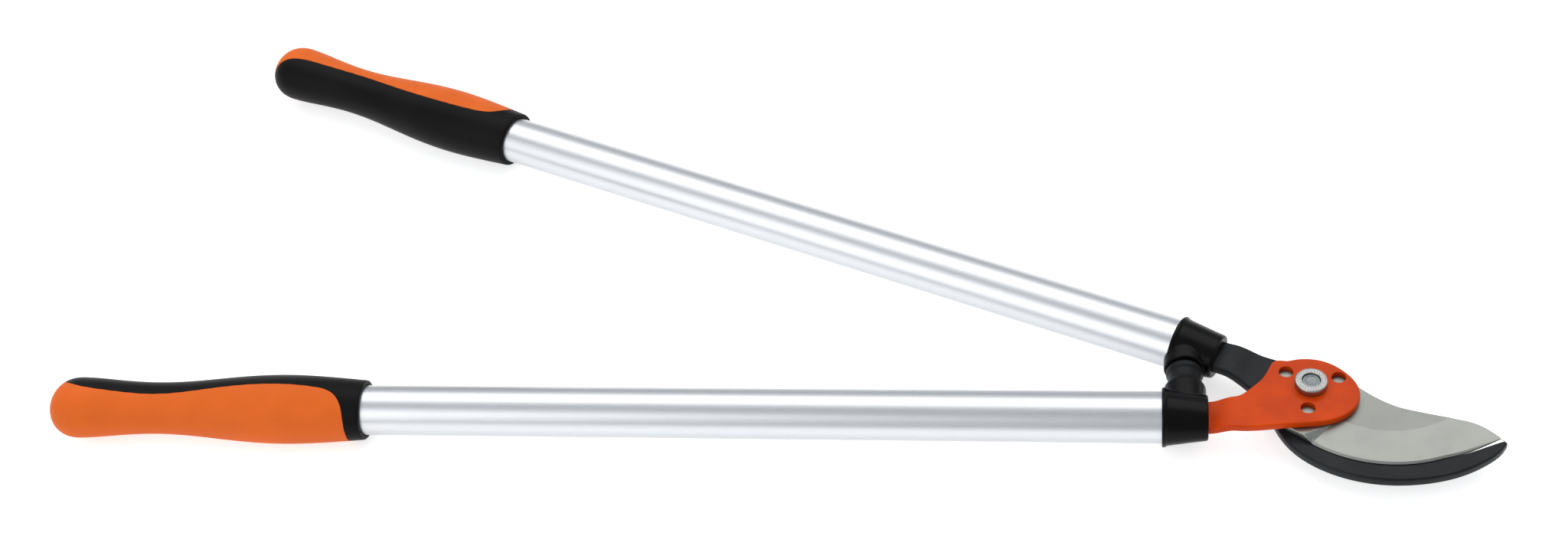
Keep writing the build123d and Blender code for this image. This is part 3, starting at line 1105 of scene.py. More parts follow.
@dataclass
class Grip:
    """Oval grip with a coloured pad let into its outer side."""

    line: HandleLine
    mouth: float = 484.2
    length: float = 174.0
    bulb: float = 157.0
    seam_width: float = 0.42
    seam_depth: float = 0.45
    pad_depth: float = 0.8
    widths: tuple = ((0, 16.4), (18, 17.9), (43, 19.097), (70, 17.8), (95, 15.3), (117, 14.4), (139, 15.7),
                     (157, 16.98))
    seam: tuple = ((7.4, 21), (8.6, 11), (15, 1.8), (27, -1.8), (52, -3.1), (80, -1.5), (111, 1.2),
                   (140, -0.2), (160, -4), (177, -17))

    def half_width(self, distance: np.ndarray) -> np.ndarray:
        """Half width of the bare form at distances from the mouth.

        Args:
            distance: The distances.

        Returns:
            The half widths.
        """
        curve = spline(self.widths, end=(1, 0.02), step=0.5)
        bulb_share = np.clip((distance - self.bulb) / (self.length - self.bulb), 0, 1)
        round_end = curve[-1, 1] * (1 - bulb_share**2.4) ** 0.5
        return np.where(distance > self.bulb, round_end, np.interp(distance, curve[:, 0], curve[:, 1]))

    def half_angle(self, distance: np.ndarray) -> np.ndarray:
        """Angle from the outer side at which the seam lies.

        Args:
            distance: Distances from the mouth.

        Returns:
            The angles in radians.
        """
        curve = spline(self.seam, step=0.15)
        offset = np.interp(distance, curve[:, 0], curve[:, 1])
        width = np.maximum(self.half_width(distance), 1e-6)
        angle = np.arccos(np.clip(offset / width, -1, 1))
        return np.where(distance < self.seam[0][0], 0.0, angle)

    def stations(self) -> np.ndarray:
        """Distances of the rows from just inside the mouth to the butt.

        Returns:
            The distances.
        """
        tail = np.sin(np.linspace(0, math.pi / 2, 40)) * (self.length - 158) + 158
        return np.concatenate(
            (np.arange(1.4, 7.0, 0.8), np.arange(7.0, 17.0, 0.2), np.arange(17.5, 157.5, 1.6), tail)
        )

    def dip(self, rows: np.ndarray, angles: np.ndarray) -> np.ndarray:
        """Depth of the seam's groove at each point.

        Args:
            rows: Distances, one for each row.
            angles: Angles from the outer side, a row for each distance.

        Returns:
            The depths, in millimetres.
        """
        seam_rows = np.concatenate((np.arange(7.41, 17, 0.08), np.arange(17, 172, 0.5)))
        seam_angles = self.half_angle(seam_rows)
        width = self.half_width(rows)[:, None]
        depth = np.zeros_like(angles)
        for i, row in enumerate(rows):
            near = np.abs(seam_rows - row) < 6
            if not near.any():
                continue
            gap = np.abs(angles[i])[:, None] - seam_angles[near][None, :]
            distance = np.sqrt((gap * width[i]) ** 2 + (seam_rows[near] - row)[None, :] ** 2).min(1)
            share = np.clip(1 - distance / self.seam_width, 0, 1)
            depth[i] = self.seam_depth * (1 - np.sqrt(1 - share**2))
        return depth

    def skin(self, rows: np.ndarray, angles: np.ndarray, sink: np.ndarray) -> list[Points]:
        """Rows of points sunk below the bare form along its own slope.

        Args:
            rows: Distances, one for each row.
            angles: Angles from the outer side, a row for each distance.
            sink: Depth of each point.

        Returns:
            The rows.
        """
        width = self.half_width(rows)
        slope = np.gradient(width, rows)
        slope[-1] = -40.0
        lean = 1 / np.sqrt(1 + slope**2)
        made = []
        for i, row in enumerate(rows):
            half = np.maximum(width[i] - sink[i] * lean[i], 0)
            place = self.mouth + row + sink[i] * slope[i] * lean[i]
            made.append(self.line.at(place, half * np.cos(angles[i]), OVAL_SHARE * half * np.sin(angles[i])))
        return made

    def build_body(self, material: Material) -> Object:
        """Make the dark body with the pad's bed sunk into it.

        Args:
            material: The dark plastic.

        Returns:
            The piece.
        """
        rows = self.stations()
        reach = np.clip(self.half_angle(rows), 0.02, math.pi - 0.02)
        pad_part = np.sin(np.linspace(-1, 1, 61) * math.pi / 2)
        free_part = (1 - np.cos(np.linspace(0, 1, 67)[1:-1] * math.pi)) / 2
        angles = np.hstack(
            (reach[:, None] * pad_part, reach[:, None] + (2 * math.pi - 2 * reach)[:, None] * free_part)
        )
        folded = np.where(angles > math.pi, 2 * math.pi - angles, np.abs(angles))
        sink = self.dip(rows, folded)
        under = (folded < self.half_angle(rows)[:, None] - 0.012) & (rows > 7.4)[:, None]
        sink = np.where(under, np.maximum(sink, self.pad_depth), sink)
        skin = self.skin(rows, angles, sink)
        bore = TUBE_HALF_WIDTH + 0.3
        lip = self.widths[0][1]
        mouth_rows = [(3.0, bore), (0.5, bore), (0.12, bore + 0.15), (0.0, bore + 0.45), (0.0, lip - 0.75),
                      (0.1, lip - 0.4), (0.35, lip - 0.12), (0.8, lip + 0.02)]
        mouth = [
            self.line.at(self.mouth + d, w * np.cos(angles[0]), OVAL_SHARE * w * np.sin(angles[0]))
            for d, w in mouth_rows
        ]
        mesh = loft(mouth + skin).mesh(self.line.named("grip_form"), 50)
        name = self.line.named("grip_body")
        return piece(f"{name}_moulded", mesh, [material], self.line.body, [name])

    def build_pad(self, material: Material) -> Object:
        """Make the coloured pad as a closed shell.

        Args:
            material: The coloured rubber.

        Returns:
            The piece.
        """
        rows = self.stations()
        rows = rows[rows > self.seam[0][0] + 0.02]
        reach = np.maximum(self.half_angle(rows), 0.001)
        angles = reach[:, None] * np.sin(np.linspace(-1, 1, 81) * math.pi / 2)
        outer = self.skin(rows, angles, self.dip(rows, angles))
        inner = self.skin(rows, angles, np.full_like(angles, 1.5))
        count, columns = len(rows), angles.shape[1]
        points = np.vstack((np.vstack(outer), np.vstack(inner)))
        base = count * columns
        faces: Faces = []
        for i in range(count - 1):
            for j in range(columns - 1):
                a, b = i * columns + j, (i + 1) * columns + j
                faces.append((a, a + 1, b + 1, b))
                faces.append((base + a, base + b, base + b + 1, base + a + 1))
            for edge in (0, columns - 1):
                a, b = i * columns + edge, (i + 1) * columns + edge
                faces.append((a, b, base + b, base + a))
        faces += [(j, j + 1, base + j + 1, base + j) for j in range(columns - 1)]
        work = bmesh.new()
        raw = bpy.data.meshes.new("pad_raw")
        raw.from_pydata(points.tolist(), [], faces)
        work.from_mesh(raw)
        bmesh.ops.remove_doubles(work, verts=work.verts, dist=0.004)
        bmesh.ops.dissolve_degenerate(work, edges=work.edges, dist=0.001)
        self._drop_inner_walls(work)
        work.to_mesh(raw)
        work.free()
        shape = shape_of(raw)
        shape.points *= MM
        mesh = shape.mesh(self.line.named("pad_form"), 60)
        name = self.line.named("grip_pad")
        return piece(f"{name}_moulded", mesh, [material], self.line.body, [name])

    @staticmethod
    def _drop_inner_walls(work: bmesh.types.BMesh) -> None:
        """Remove the doubled side walls where the pad closes round the butt.

        Args:
            work: The open mesh of the pad.
        """
        shared = [edge for edge in work.edges if len(edge.link_faces) > 2]
        walls = {
            face
            for edge in shared
            for face in edge.link_faces
            if sum(len(side.link_faces) > 2 for side in face.edges) >= 2
        }
        bmesh.ops.delete(work, geom=list(walls), context="FACES_ONLY")


# The head


def circle_hole(centre: Sequence[float], radius: float, count: int = 64) -> Points:
    """Clockwise circle for a hole."""
    turn = -np.linspace(0, 2 * math.pi, count, endpoint=False)
    return np.asarray(centre) + radius * np.column_stack((np.cos(turn), np.sin(turn)))


def pip_places() -> Points:
    """Centres of the three pips in plan."""
    turn = np.radians(PIP_ANGLE + 360 / 3 * np.arange(3))
    return PIP_CIRCLE * np.column_stack((np.cos(turn), np.sin(turn)))


@dataclass
class LeverPlate:
    """Painted lever plate, bent down to its tang."""

    low: float = 14.55
    thickness: float = 4.0
    tang_end: float = -125.0
    tang_half: float = 9.3
    bend: tuple[float, float] = (-37.0, -50.0)
    pip_hole: float = 3.55
    bore: float = 5.0

    def lower(self, plan: Points) -> np.ndarray:
        """Height of the lower face."""
        drop = self.low + self.thickness / 2 - AXIS_HEIGHT
        return self.low - drop * smooth_step(-plan[:, 0], -self.bend[0], -self.bend[1])

    def upper(self, plan: Points) -> np.ndarray:
        """Height of the upper face."""
        return self.lower(plan) + self.thickness

    def outline(self) -> Points:
        """Plan of the plate.

        Returns:
            The closed outline, anticlockwise, in millimetres.
        """
        top, bottom = self.tang_half - LEVER_LINE.offset, -self.tang_half - LEVER_LINE.offset
        neck = spline(((-38, top), (-29.5, -1.8), (-22.8, 6), (-18.8, 14.6)), (1, 0), (0.5, 1))
        lobe = spline(((-18.8, 14.6), (-15.6, 17.2), (-11.5, 16.9), (-6, 18)), (0.5, 1), (1, 0.15))
        head = spline(
            ((-6, 18), (4.5, 17.6), (17.6, 9.1), (23.6, -3.5), (19.6, -15.5), (7, -22.9), (-11.3, -25.2)),
            (1, 0.15),
            (-1, -0.12),
        )
        belly = spline(((-11.3, -25.2), (-38, bottom - 1.4), (-50, bottom)), (-1, -0.12), (-1, 0))
        return joined(
            line((self.tang_end, top), (-38, top)),
            neck,
            lobe,
            head,
            belly,
            line((-50, bottom), (self.tang_end, bottom)),
            line((self.tang_end, bottom), (self.tang_end, top)),
        )

    def build(self, material: Material) -> Object:
        """Make the plate.

        Args:
            material: The powder coat.

        Returns:
            The piece.
        """
        holes = [circle_hole((0, 0), self.bore)] + [circle_hole(p, self.pip_hole, 48) for p in pip_places()]
        rims = {"rounding": 0.85, "hole_rounding": 0.25, "support": 0.15}
        mesh = Plate(self.outline(), self.lower, self.upper, holes, **rims).shape().mesh("lever_plate")
        return piece("lever_painted", mesh, [material], LEVER_BODY, ["lever"])


@dataclass
class CuttingBlade:
    """Curved blade with a ground bevel, a fine edge bevel, heel facet and three pips."""

    low: float = 11.05
    thickness: float = 3.5
    centre: tuple[float, float] = (37.9, 20.6)
    edge_radius: float = 65.2
    bevel_radius: float = 46.5
    run_out_radius: float = 70.2
    edge_thickness: float = 0.3
    fine_bevel: float = 1.1
    head_radius: float = 19.0
    heel_start: tuple[float, float] = (8.8, -22.0)
    heel_end: tuple[float, float] = (-0.6, -31.8)
    heel_rise: float = 0.55

    def edge_line(self) -> Points:
        """The cutting edge from the heel to the tip.

        Returns:
            Points from heel to tip.
        """
        centre = np.array(self.centre)
        heel = np.array((-1.2, centre[1] - math.sqrt(self.edge_radius**2 - (-1.2 - centre[0]) ** 2)))
        last = np.array((59.6, centre[1] - math.sqrt(self.edge_radius**2 - (59.6 - centre[0]) ** 2)))
        first_angle = math.atan2(*(heel - centre)[::-1])
        last_angle = math.atan2(*(last - centre)[::-1])
        round_part = arc(centre, self.edge_radius, first_angle, last_angle)
        direction = (-math.sin(last_angle), math.cos(last_angle))
        tip = spline((last, (69.5, -37.6), (78.7, -33.2), (89.5, -27)), direction, (0.86, 0.5))
        return np.vstack((round_part, tip[1:]))

    def outline(self) -> Points:
        """Plan of the blade.

        Returns:
            The closed outline, anticlockwise, in millimetres.
        """
        edge = self.edge_line()
        spine = spline(
            ((24.3, 2), (29.7, -2.6), (35.2, -6.5), (42.3, -10.3), (51.8, -13.2), (61.4, -15.7),
             (69.3, -17.4), (76.4, -18.8), (82.5, -21.5), (86.2, -24.1), (89.5, -27)),
            (0.75, -0.66),
            (0.72, -0.7),
        )
        shoulder = spline(((0, self.head_radius), (13.5, 13.4), (24.3, 2)), (1, 0), (0.75, -0.66))
        heel = tuple(edge[0])
        back = line(heel, (-11.5, -24.2))
        side = spline(((-11.5, -24.2), (-17.6, -13), (-self.head_radius, 0)), (-0.75, 0.66), (0, 1))
        crown = arc((0, 0), self.head_radius, math.pi, math.pi / 2)
        return joined(edge, spine[::-1], shoulder[::-1], crown[::-1], side[::-1], back[::-1])

    def lower(self, plan: Points) -> np.ndarray:
        """Height of the lower face."""
        return np.full(len(plan), self.low)

    def cone(self, plan: Points) -> np.ndarray:
        """Thickness left by the wide bevel.

        Args:
            plan: Plan points.

        Returns:
            The thickness at each point.
        """
        radius = np.linalg.norm(plan - np.array(self.centre), axis=1)
        share = (radius - self.bevel_radius) / (self.run_out_radius - self.bevel_radius)
        return self.thickness - np.clip(share, 0, 1) * (self.thickness - 0.15)

    def upper(self, plan: Points) -> np.ndarray:
        """Height of the upper face, with its bevels.

        Args:
            plan: Plan points.

        Returns:
            The height at each point.
        """
        start, end = np.array(self.heel_start), np.array(self.heel_end)
        run = (end - start) / np.linalg.norm(end - start)
        beyond = (plan - start) @ np.array((run[1], -run[0]))
        beyond = np.where(plan[:, 1] < 0, np.maximum(beyond, 0), 0)
        left = np.where((plan[:, 0] < -2) & (plan[:, 1] > -24), 100.0, beyond)
        thickness = np.minimum(self.thickness, self.cone(plan) + self.heel_rise * left)
        reach = gap_to(plan, self.edge_line())
        fine = self.edge_thickness + reach * 0.62
        near = reach < self.fine_bevel * 1.5
        return self.low + np.where(near & (plan[:, 0] > -1), np.minimum(thickness, fine), thickness)

    def ridges(self) -> list[Points]:
        """The lines where two ground faces meet.

        Returns:
            The lines in plan.
        """
        centre = np.array(self.centre)
        first = math.atan2(self.heel_start[1] - centre[1], self.heel_start[0] - centre[0])
        bevel = arc(centre, self.bevel_radius, first, math.radians(-52), 1.0)
        run = np.array(self.heel_end) - np.array(self.heel_start)
        left = np.array((run[1], -run[0])) / np.linalg.norm(run)
        depth = self.thickness - self.cone(np.array([self.heel_end]))[0]
        corner = np.array(self.heel_end) + left * depth / self.heel_rise
        edge = self.edge_line()
        tangent = np.gradient(edge, axis=0)
        normal = np.column_stack((-tangent[:, 1], tangent[:, 0])) / np.linalg.norm(tangent, axis=1)[:, None]
        fine = (edge + normal * self.fine_bevel)[3:-3]
        return [
            bevel[1:],
            line(self.heel_start, self.heel_end, 1.0)[1:],
            line(self.heel_start, corner, 1.0)[1:],
            fine,
        ]

    def build(self, material: Material) -> Object:
        """Make the blade with its pips.

        Args:
            material: The blade steel.

        Returns:
            The piece.
        """
        holes = [circle_hole((0, 0), 5.0)]
        plate = Plate(self.outline(), self.lower, self.upper, holes, self.ridges(), 0.35, 0.3, 1.6, 0.25)
        studs = StudRing("blade_pips", material).shape(
            Count=3, Ring_Radius=PIP_CIRCLE * MM, First_Angle=math.radians(PIP_ANGLE),
            Height=(self.low + self.thickness - 0.2) * MM, Stud_Radius=3.45 * MM, Top_Radius=3.2 * MM,
            Stud_Height=1.3 * MM,
        )
        mesh = plate.shape().with_shape(studs).mesh("blade_plate", 30)
        return piece("blade_ground", mesh, [material], LEVER_BODY, ["blade"])


@dataclass
class HookJaw:
    """Forged hook with a bent tang and a bare ground strip along its mouth."""

    low: float = 5.8
    thickness: float = 5.0
    tang_end: float = 125.0
    tang_half: float = 9.3
    bend: tuple[float, float] = (30.0, 45.5)
    head_radius: float = 22.0
    bore: float = 7.0

    def lower(self, plan: Points) -> np.ndarray:
        """Height of the lower face."""
        rise = AXIS_HEIGHT - self.thickness / 2 - self.low
        return self.low + rise * smooth_step(plan @ HOOK_LINE.along[:2], *self.bend)

    def upper(self, plan: Points) -> np.ndarray:
        """Height of the upper face."""
        return self.lower(plan) + self.thickness

    @staticmethod
    def spot(distance: float, out: float) -> np.ndarray:
        """Plan point from its distance along the handle and its offset outwards."""
        return HOOK_LINE.at(distance, out, 0.0)[:2]

    def mouth(self) -> Points:
        """The hollow edge of the jaw, from throat to tip."""
        points = ((19.05, -11), (17.2, -25), (26, -34), (42, -38.2), (62, -35.9), (88.6, -26.2))
        return spline(points, (-0.5, -0.87), (0.9, 0.43))

    def outline(self) -> Points:
        """Plan of the hook.

        Returns:
            The closed outline, anticlockwise, in millimetres.
        """
        half, end = self.tang_half, self.tang_end
        start = self.spot(50.4, half)
        crown = (0.0, self.head_radius)
        inward = -HOOK_LINE.along[:2]
        neck = spline((start, self.spot(34, 11.1), self.spot(23.5, 11.3), crown), inward, (1, 0))
        head = arc((0, 0), self.head_radius, math.pi / 2, -math.pi / 6)
        tip = spline(((88.6, -26.2), (91.1, -27.6), (92.2, -29.5)))
        back = spline(
            ((92.2, -29.5), (89.6, -33.6), (83.6, -39.3), (70, -47.5), (49.2, -53.18), (28.4, -53.28),
             (6.2, -46.3), (-9.8, -33.8), (-18.3, -18.5), (-22.8, -5), self.spot(33.6, -10.4),
             self.spot(50.4, -half)),
            (-0.5, -0.87),
            -inward,
        )
        return joined(
            line(self.spot(end, half), start),
            neck,
            head,
            self.mouth(),
            tip,
            back,
            line(self.spot(50.4, -half), self.spot(end, -half)),
            line(self.spot(end, -half), self.spot(end, half)),
        )

    def strip_border(self) -> Points:
        """Draw the outer border of the ground strip.

        Returns:
            The border's points, in millimetres.
        """
        return spline(
            ((20, -37), (36, -42.3), (52, -41.6), (63.7, -39.5), (74.5, -35.9), (82, -32.5), (90.2, -28.8))
        )

    def build(self, materials: Sequence[Material]) -> Object:
        """Make the hook.

        Args:
            materials: The forged finish and the bare edge.

        Returns:
            The piece.
        """
        border = self.strip_border()
        holes = [circle_hole((0, 0), self.bore)]
        shape = Plate(self.outline(), self.lower, self.upper, holes, [border], 1.1, 0.3, 1.8).shape()
        middles = np.array([shape.points[list(face)].mean(0) for face in shape.faces])
        limit = np.interp(middles[:, 0], border[:, 0], border[:, 1])
        strip = (middles[:, 0] > 22) & (middles[:, 1] > limit) & (middles[:, 1] < -20)
        strip &= middles[:, 2] > self.low + self.thickness - 1.05
        shape.numbers = strip.astype(int).tolist()
        mesh = shape.mesh("hook_plate")
        return piece("hook_forged", mesh, materials, HOOK_BODY, ["hook"])


@dataclass
class PivotStack:
    """Hexagonal bolt and round nut that hold the two sides together."""

    head_half: float = 7.5
    head_height: float = 4.6
    lever_top: float = 18.55
    nut_top: float = 22.8
    nut_radius: float = 8.05
    bolt_end: float = 22.1

    def bolt_shape(self) -> Shape:
        """The bolt with its chamfered head downwards.

        Returns:
            The shape.
        """
        count = 96
        turn = np.linspace(0, 2 * math.pi, count, endpoint=False)
        sector = (turn + math.pi / 6) % (math.pi / 3) - math.pi / 6
        hexagon = self.head_half / np.cos(sector)
        flat = 0.93 * self.head_half
        chamfer = (hexagon - flat) * math.tan(math.radians(24))
        head, end = self.head_height, self.bolt_end
        rows: list[tuple[Values, Values]] = [
            (flat * 0.5, 0.0), (flat - 0.2, 0.0), (flat, 0.02), (hexagon, chamfer), (hexagon, head - 0.15),
            (hexagon - 0.15, head), (5.0, head), (5.0, self.lever_top - 0.1), (4.5, self.lever_top),
            (4.47, end - 0.5), (4.3, end - 0.12), (3.9, end), (3.1, end), (2.8, end - 0.18),
            (1.4, end - 0.24),
        ]
        x, y = np.cos(turn), np.sin(turn)
        return loft([np.column_stack((r * x, r * y, np.broadcast_to(z, count))) for r, z in rows])

    def nut_shape(self) -> Shape:
        """The nut as a closed ring.

        Returns:
            The shape.
        """
        low, top, radius = self.lever_top, self.nut_top, self.nut_radius
        profile = (
            (4.55, low), (radius - 0.35, low), (radius - 0.1, low + 0.1), (radius, low + 0.35),
            (radius, top - 0.75), (radius - 0.08, top - 0.45), (radius - 0.3, top - 0.17),
            (radius - 0.62, top), (radius - 0.95, top), (radius - 1.1, top - 0.12), (5.35, top - 0.12),
            (5.2, top - 0.03), (4.85, top - 0.03), (4.65, top - 0.2), (4.55, top - 0.5),
        )
        return lathe(profile, (0, 0, 0), closed=True)

    def build(self, nut_metal: Material, bolt_metal: Material) -> None:
        """Make the bolt and the nut.

        Args:
            nut_metal: The nut's finish.
            bolt_metal: The bolt's finish.
        """
        mesh = self.bolt_shape().mesh("bolt_turned", 25)
        piece("pivot_bolt_plated", mesh, [bolt_metal], LEVER_BODY, ["pivot_bolt"])
        studs = StudRing("nut_studs", nut_metal)
        shape = self.nut_shape()
        for ring_radius, count, first in ((6.55, 30, 0.0), (5.75, 26, 0.06)):
            shape = shape.with_shape(
                studs.shape(
                    Count=count, Ring_Radius=ring_radius * MM, First_Angle=first,
                    Height=(self.nut_top - 0.3) * MM, Stud_Radius=0.36 * MM, Top_Radius=0.22 * MM,
                    Stud_Height=0.42 * MM,
                )
            )
        mesh = shape.mesh("nut_turned", 30)
        piece("pivot_nut_plated", mesh, [nut_metal], LEVER_BODY, ["pivot_nut"])


# Ferrules and bumper


@dataclass
class Ferrule:
    """Moulded sleeve that grips the tube and the tang, with a boss towards the other side."""

    line: HandleLine
    boss_profile: tuple
    tang_thickness: float
    cup: bool
    voxel: float = 0.36

    def sleeve(self) -> Shape:
        """Tapered sleeve with a lip at its mouth.

        Returns:
            The shape.
        """
        rows = (
            (50.4, 11.5, 9.1), (50.55, 12.0, 9.6), (50.95, 12.35, 9.95), (51.6, 12.52, 10.12),
            (60.0, 13.45, 11.55), (70.3, 14.7, 13.3), (71.0, 14.95, 13.6), (71.4, 15.3, 14.0),
            (71.9, 15.5, 14.25), (72.7, 15.5, 14.25), (73.1, 15.25, 14.0), (73.2, 14.9, 13.7),
        )
        return loft([self.line.ring(s, w, d) for s, w, d in rows])

    def mesh(self) -> Mesh:
        """Sleeve and boss run together, with socket, slot and cup cut out.

        Returns:
            The mesh, in metres.
        """
        boss = lathe(self.boss_profile, (BOSS_X, 0, AXIS_HEIGHT), (0, 1, 0))
        socket = TUBE_HALF_WIDTH + 0.15
        tube_room = loft([self.line.ring(s, socket, socket * OVAL_SHARE) for s in (TUBE_START, 80.0)])
        cutters = [tube_room, self.slot()]
        if self.cup:
            cutters.append(lathe(((10.0, -6), (10.0, 15.3)), (BOSS_X, 0, AXIS_HEIGHT), (0, 1, 0)))
        helpers = []
        for number, cutter in enumerate([boss, *cutters]):
            helpers.append(linked("cut", cutter.mesh(f"cut_{number}")))

        def steps(start: Object) -> None:
            """Union, even remesh, smoothing and cuts.

            Args:
                start: The sleeve.
            """
            union = start.modifiers.new("union", "BOOLEAN")
            union.operation, union.solver, union.object = "UNION", "EXACT", helpers[0]
            even = start.modifiers.new("even", "REMESH")
            even.mode, even.voxel_size = "VOXEL", self.voxel * MM
            soft = start.modifiers.new("soft", "SMOOTH")
            soft.factor, soft.iterations = 0.5, 3
            for helper in helpers[1:]:
                cut = start.modifiers.new("cut", "BOOLEAN")
                cut.operation, cut.solver, cut.object = "DIFFERENCE", "EXACT", helper

        made = worked(self.sleeve(), self.line.named("ferrule_skin"), steps)
        for helper in helpers:
            bpy.data.objects.remove(helper)
        made.shade_smooth()
        made.set_sharp_from_angle(angle=math.radians(48))
        return made

    def slot(self) -> Shape:
        """Slot that the tang passes through.

        Returns:
            The shape.
        """
        half, deep = 9.4, self.tang_thickness / 2 + 0.1
        corners = ((half, -deep), (half, deep), (-half, deep), (-half, -deep))
        return loft([np.array([self.line.at(s, w, d) for w, d in corners]) for s in (40.0, 67.0)])

    def build(self, material: Material) -> Object:
        """Make the ferrule."""
        name = self.line.named("ferrule")
        return piece(f"{name}_moulded", self.mesh(), [material], self.line.body, [name])


LEVER_BOSS = ((10.5, -16.6), (10.5, 1.5), (10.3, 2.1), (9.9, 2.5), (9.55, 2.5), (9.45, 2.3), (9.45, 0.3))
HOOK_BOSS = ((9.6, 15.3), (10.1, 15.45), (10.4, 15.8), (10.5, 16.3), (10.5, 31.9))


@dataclass
class Bumper:
    """Rubber stop between the two ferrules."""

    seat: float = 0.3
    top: float = 15.0
    radius: float = 9.3

    def build(self, material: Material) -> Object:
        """Make the bumper.

        Args:
            material: The rubber.

        Returns:
            The piece.
        """
        r, top = self.radius, self.top
        profile = (
            (r - 0.1, self.seat), (r, self.seat + 0.2), (r, 3.4), (r - 0.25, 3.9), (r - 0.7, 4.5),
            (r - 0.85, 5.6), (r - 0.85, 9.4), (r - 0.7, 10.4), (r - 0.25, 11.0), (r, 11.6), (r, top - 1.6),
            (r - 0.15, top - 0.95), (r - 0.55, top - 0.4), (r - 1.2, top - 0.08), (r - 2.0, top),
            (r - 3.6, top), (r - 4.0, top - 0.35),
        )
        mesh = lathe(profile, (BOSS_X, 0, AXIS_HEIGHT), (0, 1, 0)).mesh("bumper_skin", 40)
        return piece("bumper_rubber", mesh, [material], LEVER_BODY, ["bumper"])


# Studio


@dataclass
class Studio:
    """Pale floor, soft light and the camera."""

    floor_height: float = -0.0048
    eye: Triple = (-0.0821, -0.8168, 0.9170)
    right: Triple = (0.9889, 0.1053, -0.1049)
    back: Triple = (0.1487, -0.6995, 0.6990)
    lens: float = 54.92
    middle: Triple = (-0.28, 0.0, 0.0)

    def floor(self) -> None:
        """Lay the floor."""
        mesh = bpy.data.meshes.new("floor_sheet")
        work = bmesh.new()
        bmesh.ops.create_grid(work, x_segments=8, y_segments=8, size=6.0)
        bmesh.ops.translate(work, verts=work.verts, vec=(-0.3, 0, self.floor_height))
        work.to_mesh(mesh)
        work.free()
        book = NodeBook("floor_paper")
        shade = book.noise(book.place(), 3.0, 2.0)
        colour = book.blend(shade, (0.78, 0.78, 0.78), (0.80, 0.80, 0.80))
        glow = {"Emission_Color": (1.0, 1.0, 1.0, 1.0), "Emission_Strength": 0.46}
        mesh.materials.append(book.finish(colour, 0.9, Specular_IOR_Level=0.1, **glow))
        floor = linked("floor", mesh)

    def lamp(self, name: str, place: Triple, size: tuple[float, float], power: float) -> None:
        """Hang one soft box that faces the middle.

        Args:
            name: Its name.
            place: Where it hangs, in metres.
            size: Width and depth.
            power: Power in watts.
        """
        light = bpy.data.lights.new(name, "AREA")
        light.shape = "RECTANGLE"
        light.size, light.size_y = size
        light.energy = power
        lamp = linked(name, light)
        lamp.location = place
        lamp.rotation_euler = (Vector(self.middle) - Vector(place)).to_track_quat("-Z", "Y").to_euler()

    def fill(self) -> None:
        """Even fill from above, without a mark in the gloss."""
        light = bpy.data.lights.new("fill", "SUN")
        light.energy = 0.8
        light.angle = math.radians(60)
        light.use_shadow = False
        linked("fill", light).visible_glossy = False

    def light(self) -> None:
        """Set the lamps and the room."""
        world = bpy.data.worlds.new("room")
        bpy.context.scene.world = world
        world.use_nodes = True
        background = world.node_tree.nodes["Background"]
        background.inputs["Color"].default_value = (0.93, 0.96, 1.0, 1.0)
        background.inputs["Strength"].default_value = 0.55
        self.lamp("top_box", place=(-0.28, 2.0, 3.4), size=(7.0, 2.8), power=118.0)
        self.fill()
        self.lamp("front_box", place=(-2.6, -2.6, 2.3), size=(3.4, 3.6), power=62.0)

    def camera(self) -> None:
        """Set the camera."""
        data = bpy.data.cameras.new("camera")
        data.lens, data.sensor_width = self.lens, 36.0
        data.clip_start, data.clip_end = 0.01, 50.0
        camera = linked("camera", data)
        back = Vector(self.back).normalized()
        up = back.cross(Vector(self.right)).normalized()
        right = up.cross(back)
        turn = Matrix((right, up, back)).transposed().to_4x4()
        camera.matrix_world = Matrix.Translation(self.eye) @ turn
        bpy.context.scene.camera = camera

    def build(self) -> None:
        """Set up everything that isn't the object."""
        self.floor()
        self.light()
        self.camera()
        bpy.context.scene.view_settings.view_transform = "Standard"
        bpy.context.scene.view_settings.look = "None"


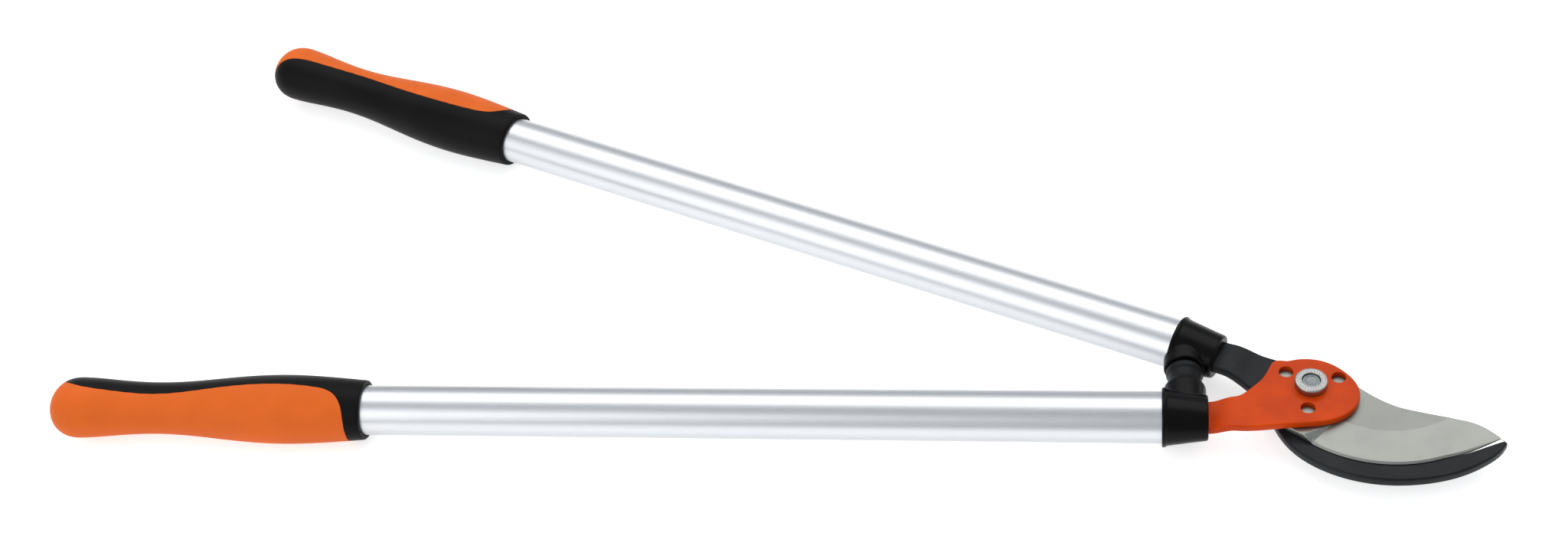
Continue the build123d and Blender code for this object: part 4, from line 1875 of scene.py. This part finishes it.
def main() -> None:
    """Build every piece, in order."""
    logging.basicConfig(level=logging.INFO, format="%(name)s: %(message)s")
    Studio().build()
    grip_black = Moulded(
        "grip_black_skin", (0.0035, 0.0035, 0.0038), (0.005, 0.005, 0.0054), 0.38, specular=0.07
    ).material()
    grip_orange = Moulded(
        "grip_orange_skin", (0.56, 0.100, 0.010), (0.62, 0.112, 0.013), 0.52, specular=0.14
    ).material()
    ferrule_black = Moulded(
        "ferrule_black_skin", (0.0016, 0.0016, 0.0018), (0.003, 0.003, 0.0033), 0.20, specular=0.09
    ).material()
    rubber = Moulded(
        "bumper_rubber_skin", (0.0035, 0.0038, 0.0042), (0.006, 0.0063, 0.0066), 0.38, specular=0.14
    ).material()
    inner_plastic = Moulded("insert_skin", (0.05, 0.05, 0.05), (0.07, 0.07, 0.07), 0.5).material()
    steel = GroundSteel().material()
    nut_metal = Plated("nut_zinc", (0.36, 0.36, 0.345), 0.2).material()
    bolt_metal = Plated("bolt_zinc", (0.175, 0.195, 0.20), 0.26, 0.00022).material()
    for handle in (LEVER_LINE, HOOK_LINE):
        turn = 0.0 if handle.side is Side.LEVER else handle.turn
        Tube(handle).build(Anodised(handle.named("tube_anodised"), turn).material())
        grip = Grip(handle)
        grip.build_body(grip_black)
        grip.build_pad(grip_orange)
    LeverPlate().build(PowderCoat().material())
    CuttingBlade().build(steel)
    HookJaw().build([ForgedBlack().material(), BareEdge().material()])
    PivotStack().build(nut_metal, bolt_metal)
    Ferrule(LEVER_LINE, LEVER_BOSS, LeverPlate.thickness, cup=False).build(ferrule_black)
    Ferrule(HOOK_LINE, HOOK_BOSS, HookJaw.thickness, cup=True).build(ferrule_black)
    Bumper().build(rubber)
    dress("pivot_washer", nut_metal)
    dress("hook_bushing", Plated("bushing_bronze", (0.62, 0.42, 0.22)).material())
    for node in ("lever_tang_insert", "hook_tang_insert", "lever_tube_plug", "hook_tube_plug"):
        dress(node, inner_plastic)
    for node in ("lever_tang_pins", "hook_tang_pins"):
        dress(node, bolt_metal)


if __name__ == "__main__":
    main()
